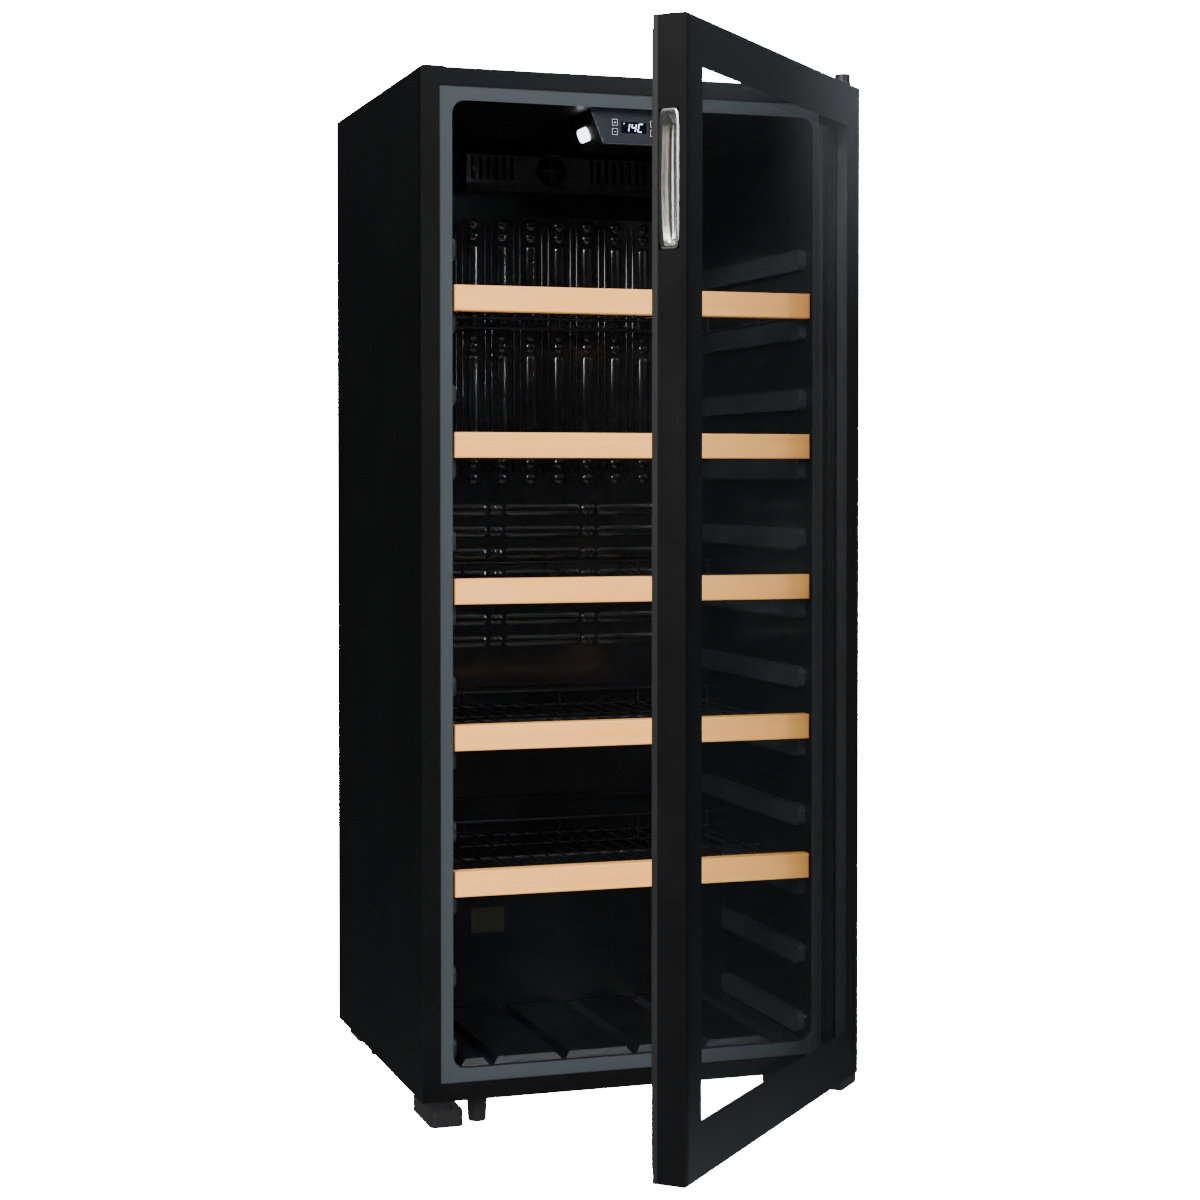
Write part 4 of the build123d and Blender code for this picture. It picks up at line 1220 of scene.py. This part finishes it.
# ---------------------------------------------------------------- stage
class COOLER_OT_stage(bpy.types.Operator):
    """Lay the floor and set the lights and the camera"""

    bl_idname = "cooler.stage"
    bl_label = "Stage"

    def execute(self, context):
        settings = context.scene.cooler_stage
        floor = start(bpy.ops.mesh.primitive_plane_add, "studio_floor", size=60.0, location=(0, 0, 0))
        floor.data.materials.append(studio_floor("Studio_Floor", settings.floor))
        floor.visible_glossy = False
        floor.visible_diffuse = False

        lamps = (
            ("key", (-3.3, -4.3, 3.6), (2.2, 2.6), 460.0, (1.0, 0.99, 0.97)),
            ("front_fill", (3.1, -4.6, 2.6), (0.7, 2.6), 110.0, (0.80, 0.90, 1.0)),
            ("overhead", (0.0, 0.0, 5.2), (5.0, 5.0), 200.0, (1.0, 1.0, 1.0)),
        )
        for name, spot, size, power, colour in lamps:
            light = bpy.data.lights.new(name, "AREA")
            light.shape = "RECTANGLE"
            light.size, light.size_y = size
            light.energy = power * settings.light
            light.color = colour
            holder = bpy.data.objects.new(name, light)
            holder.location = spot
            aim = Vector((0.0, 0.0, 0.7)) - Vector(spot)
            holder.rotation_euler = aim.to_track_quat("-Z", "Y").to_euler()
            context.scene.collection.objects.link(holder)

        world = bpy.data.worlds.new("studio")
        world.use_nodes = True
        context.scene.world = world
        tree = world.node_tree
        sky = NodeTree(tree)
        ray = tree.nodes.new("ShaderNodeLightPath")
        way = sky.node("ShaderNodeTexCoord", {}, {}, "Generated")
        split = sky.node("ShaderNodeSeparateXYZ", {}, {0: way})
        across, depth, height = [Reading(sky, split.socket.node.outputs[i]) for i in range(3)]
        side_glow = (depth - across * 0.46).ramp(0.0, 0.1) * across.over(0.5) * height.ramp(0.05, 0.2)
        above = height.ramp(0.12, 0.42) * 0.32
        below = (height * -1.0).ramp(0.22, 0.36) * 0.35
        gloss = above + below + side_glow * 1.1 + 0.02
        shade = Reading(sky, tree.nodes["Background"].outputs[0])
        sky.feed(tree.nodes["Background"].inputs["Color"], (0.97, 0.985, 1.0, 1.0))
        sky.feed(tree.nodes["Background"].inputs["Strength"], 1.5)
        layers = (
            ("Is Glossy Ray", (0.86, 0.93, 1.0, 1.0), gloss),
            ("Is Camera Ray", (1.0, 1.0, 1.0, 1.0), 40.0),
        )
        for kind, colour, strength in layers:
            other = sky.node("ShaderNodeBackground", {}, {"Color": colour, "Strength": strength})
            seen = Reading(sky, ray.outputs[kind])
            shade = sky.node("ShaderNodeMixShader", {}, {0: seen, 1: shade, 2: other})
        sky.feed(tree.nodes["World Output"].inputs["Surface"], shade)

        camera = bpy.data.cameras.new("view")
        camera.sensor_width = 36.0
        camera.lens = settings.lens
        camera.shift_y = -70.0 / 1200.0
        camera.clip_end = 200.0
        holder = bpy.data.objects.new("view", camera)
        holder.location = (-1.0473, -3.0324, 0.855)
        holder.rotation_euler = (math.radians(90.0 - 1.23), 0.0, math.radians(-18.2))
        context.scene.collection.objects.link(holder)
        context.scene.camera = holder
        return {"FINISHED"}


# ---------------------------------------------------------------- panel and registration
class COOLER_PT_sidebar(bpy.types.Panel):
    bl_idname = "COOLER_PT_sidebar"
    bl_label = "Wine Cooler"
    bl_space_type = "VIEW_3D"
    bl_region_type = "UI"
    bl_category = "Wine Cooler"

    def draw(self, context):
        layout = self.layout
        for holder in SETTINGS:
            group = getattr(context.scene, holder)
            box = layout.box()
            for name in group.__annotations__:
                box.prop(group, name)
        for operator in OPERATORS:
            layout.operator(operator.bl_idname)


OPERATORS = (
    COOLER_OT_casing,
    COOLER_OT_screws,
    COOLER_OT_liner,
    COOLER_OT_evaporator,
    COOLER_OT_air_duct,
    COOLER_OT_shelves,
    COOLER_OT_controls,
    COOLER_OT_door,
    COOLER_OT_gasket,
    COOLER_OT_finger_pull,
    COOLER_OT_hinges,
    COOLER_OT_machine_bay,
    COOLER_OT_pipes,
    COOLER_OT_stage,
)
SETTINGS = {
    "cooler_finishes": CoolerFinishes,
    "cooler_details": CoolerDetails,
    "cooler_stage": CoolerStage,
}
CLASSES = (*SETTINGS.values(), *OPERATORS, COOLER_PT_sidebar)


def register():
    for kind in CLASSES:
        bpy.utils.register_class(kind)
    for holder, group in SETTINGS.items():
        setattr(bpy.types.Scene, holder, bpy.props.PointerProperty(type=group))


def unregister():
    for holder in SETTINGS:
        delattr(bpy.types.Scene, holder)
    for kind in reversed(CLASSES):
        bpy.utils.unregister_class(kind)


def main():
    register()
    for operator in OPERATORS:
        group, name = operator.bl_idname.split(".")
        getattr(getattr(bpy.ops, group), name)()


if __name__ == "__main__":
    main()
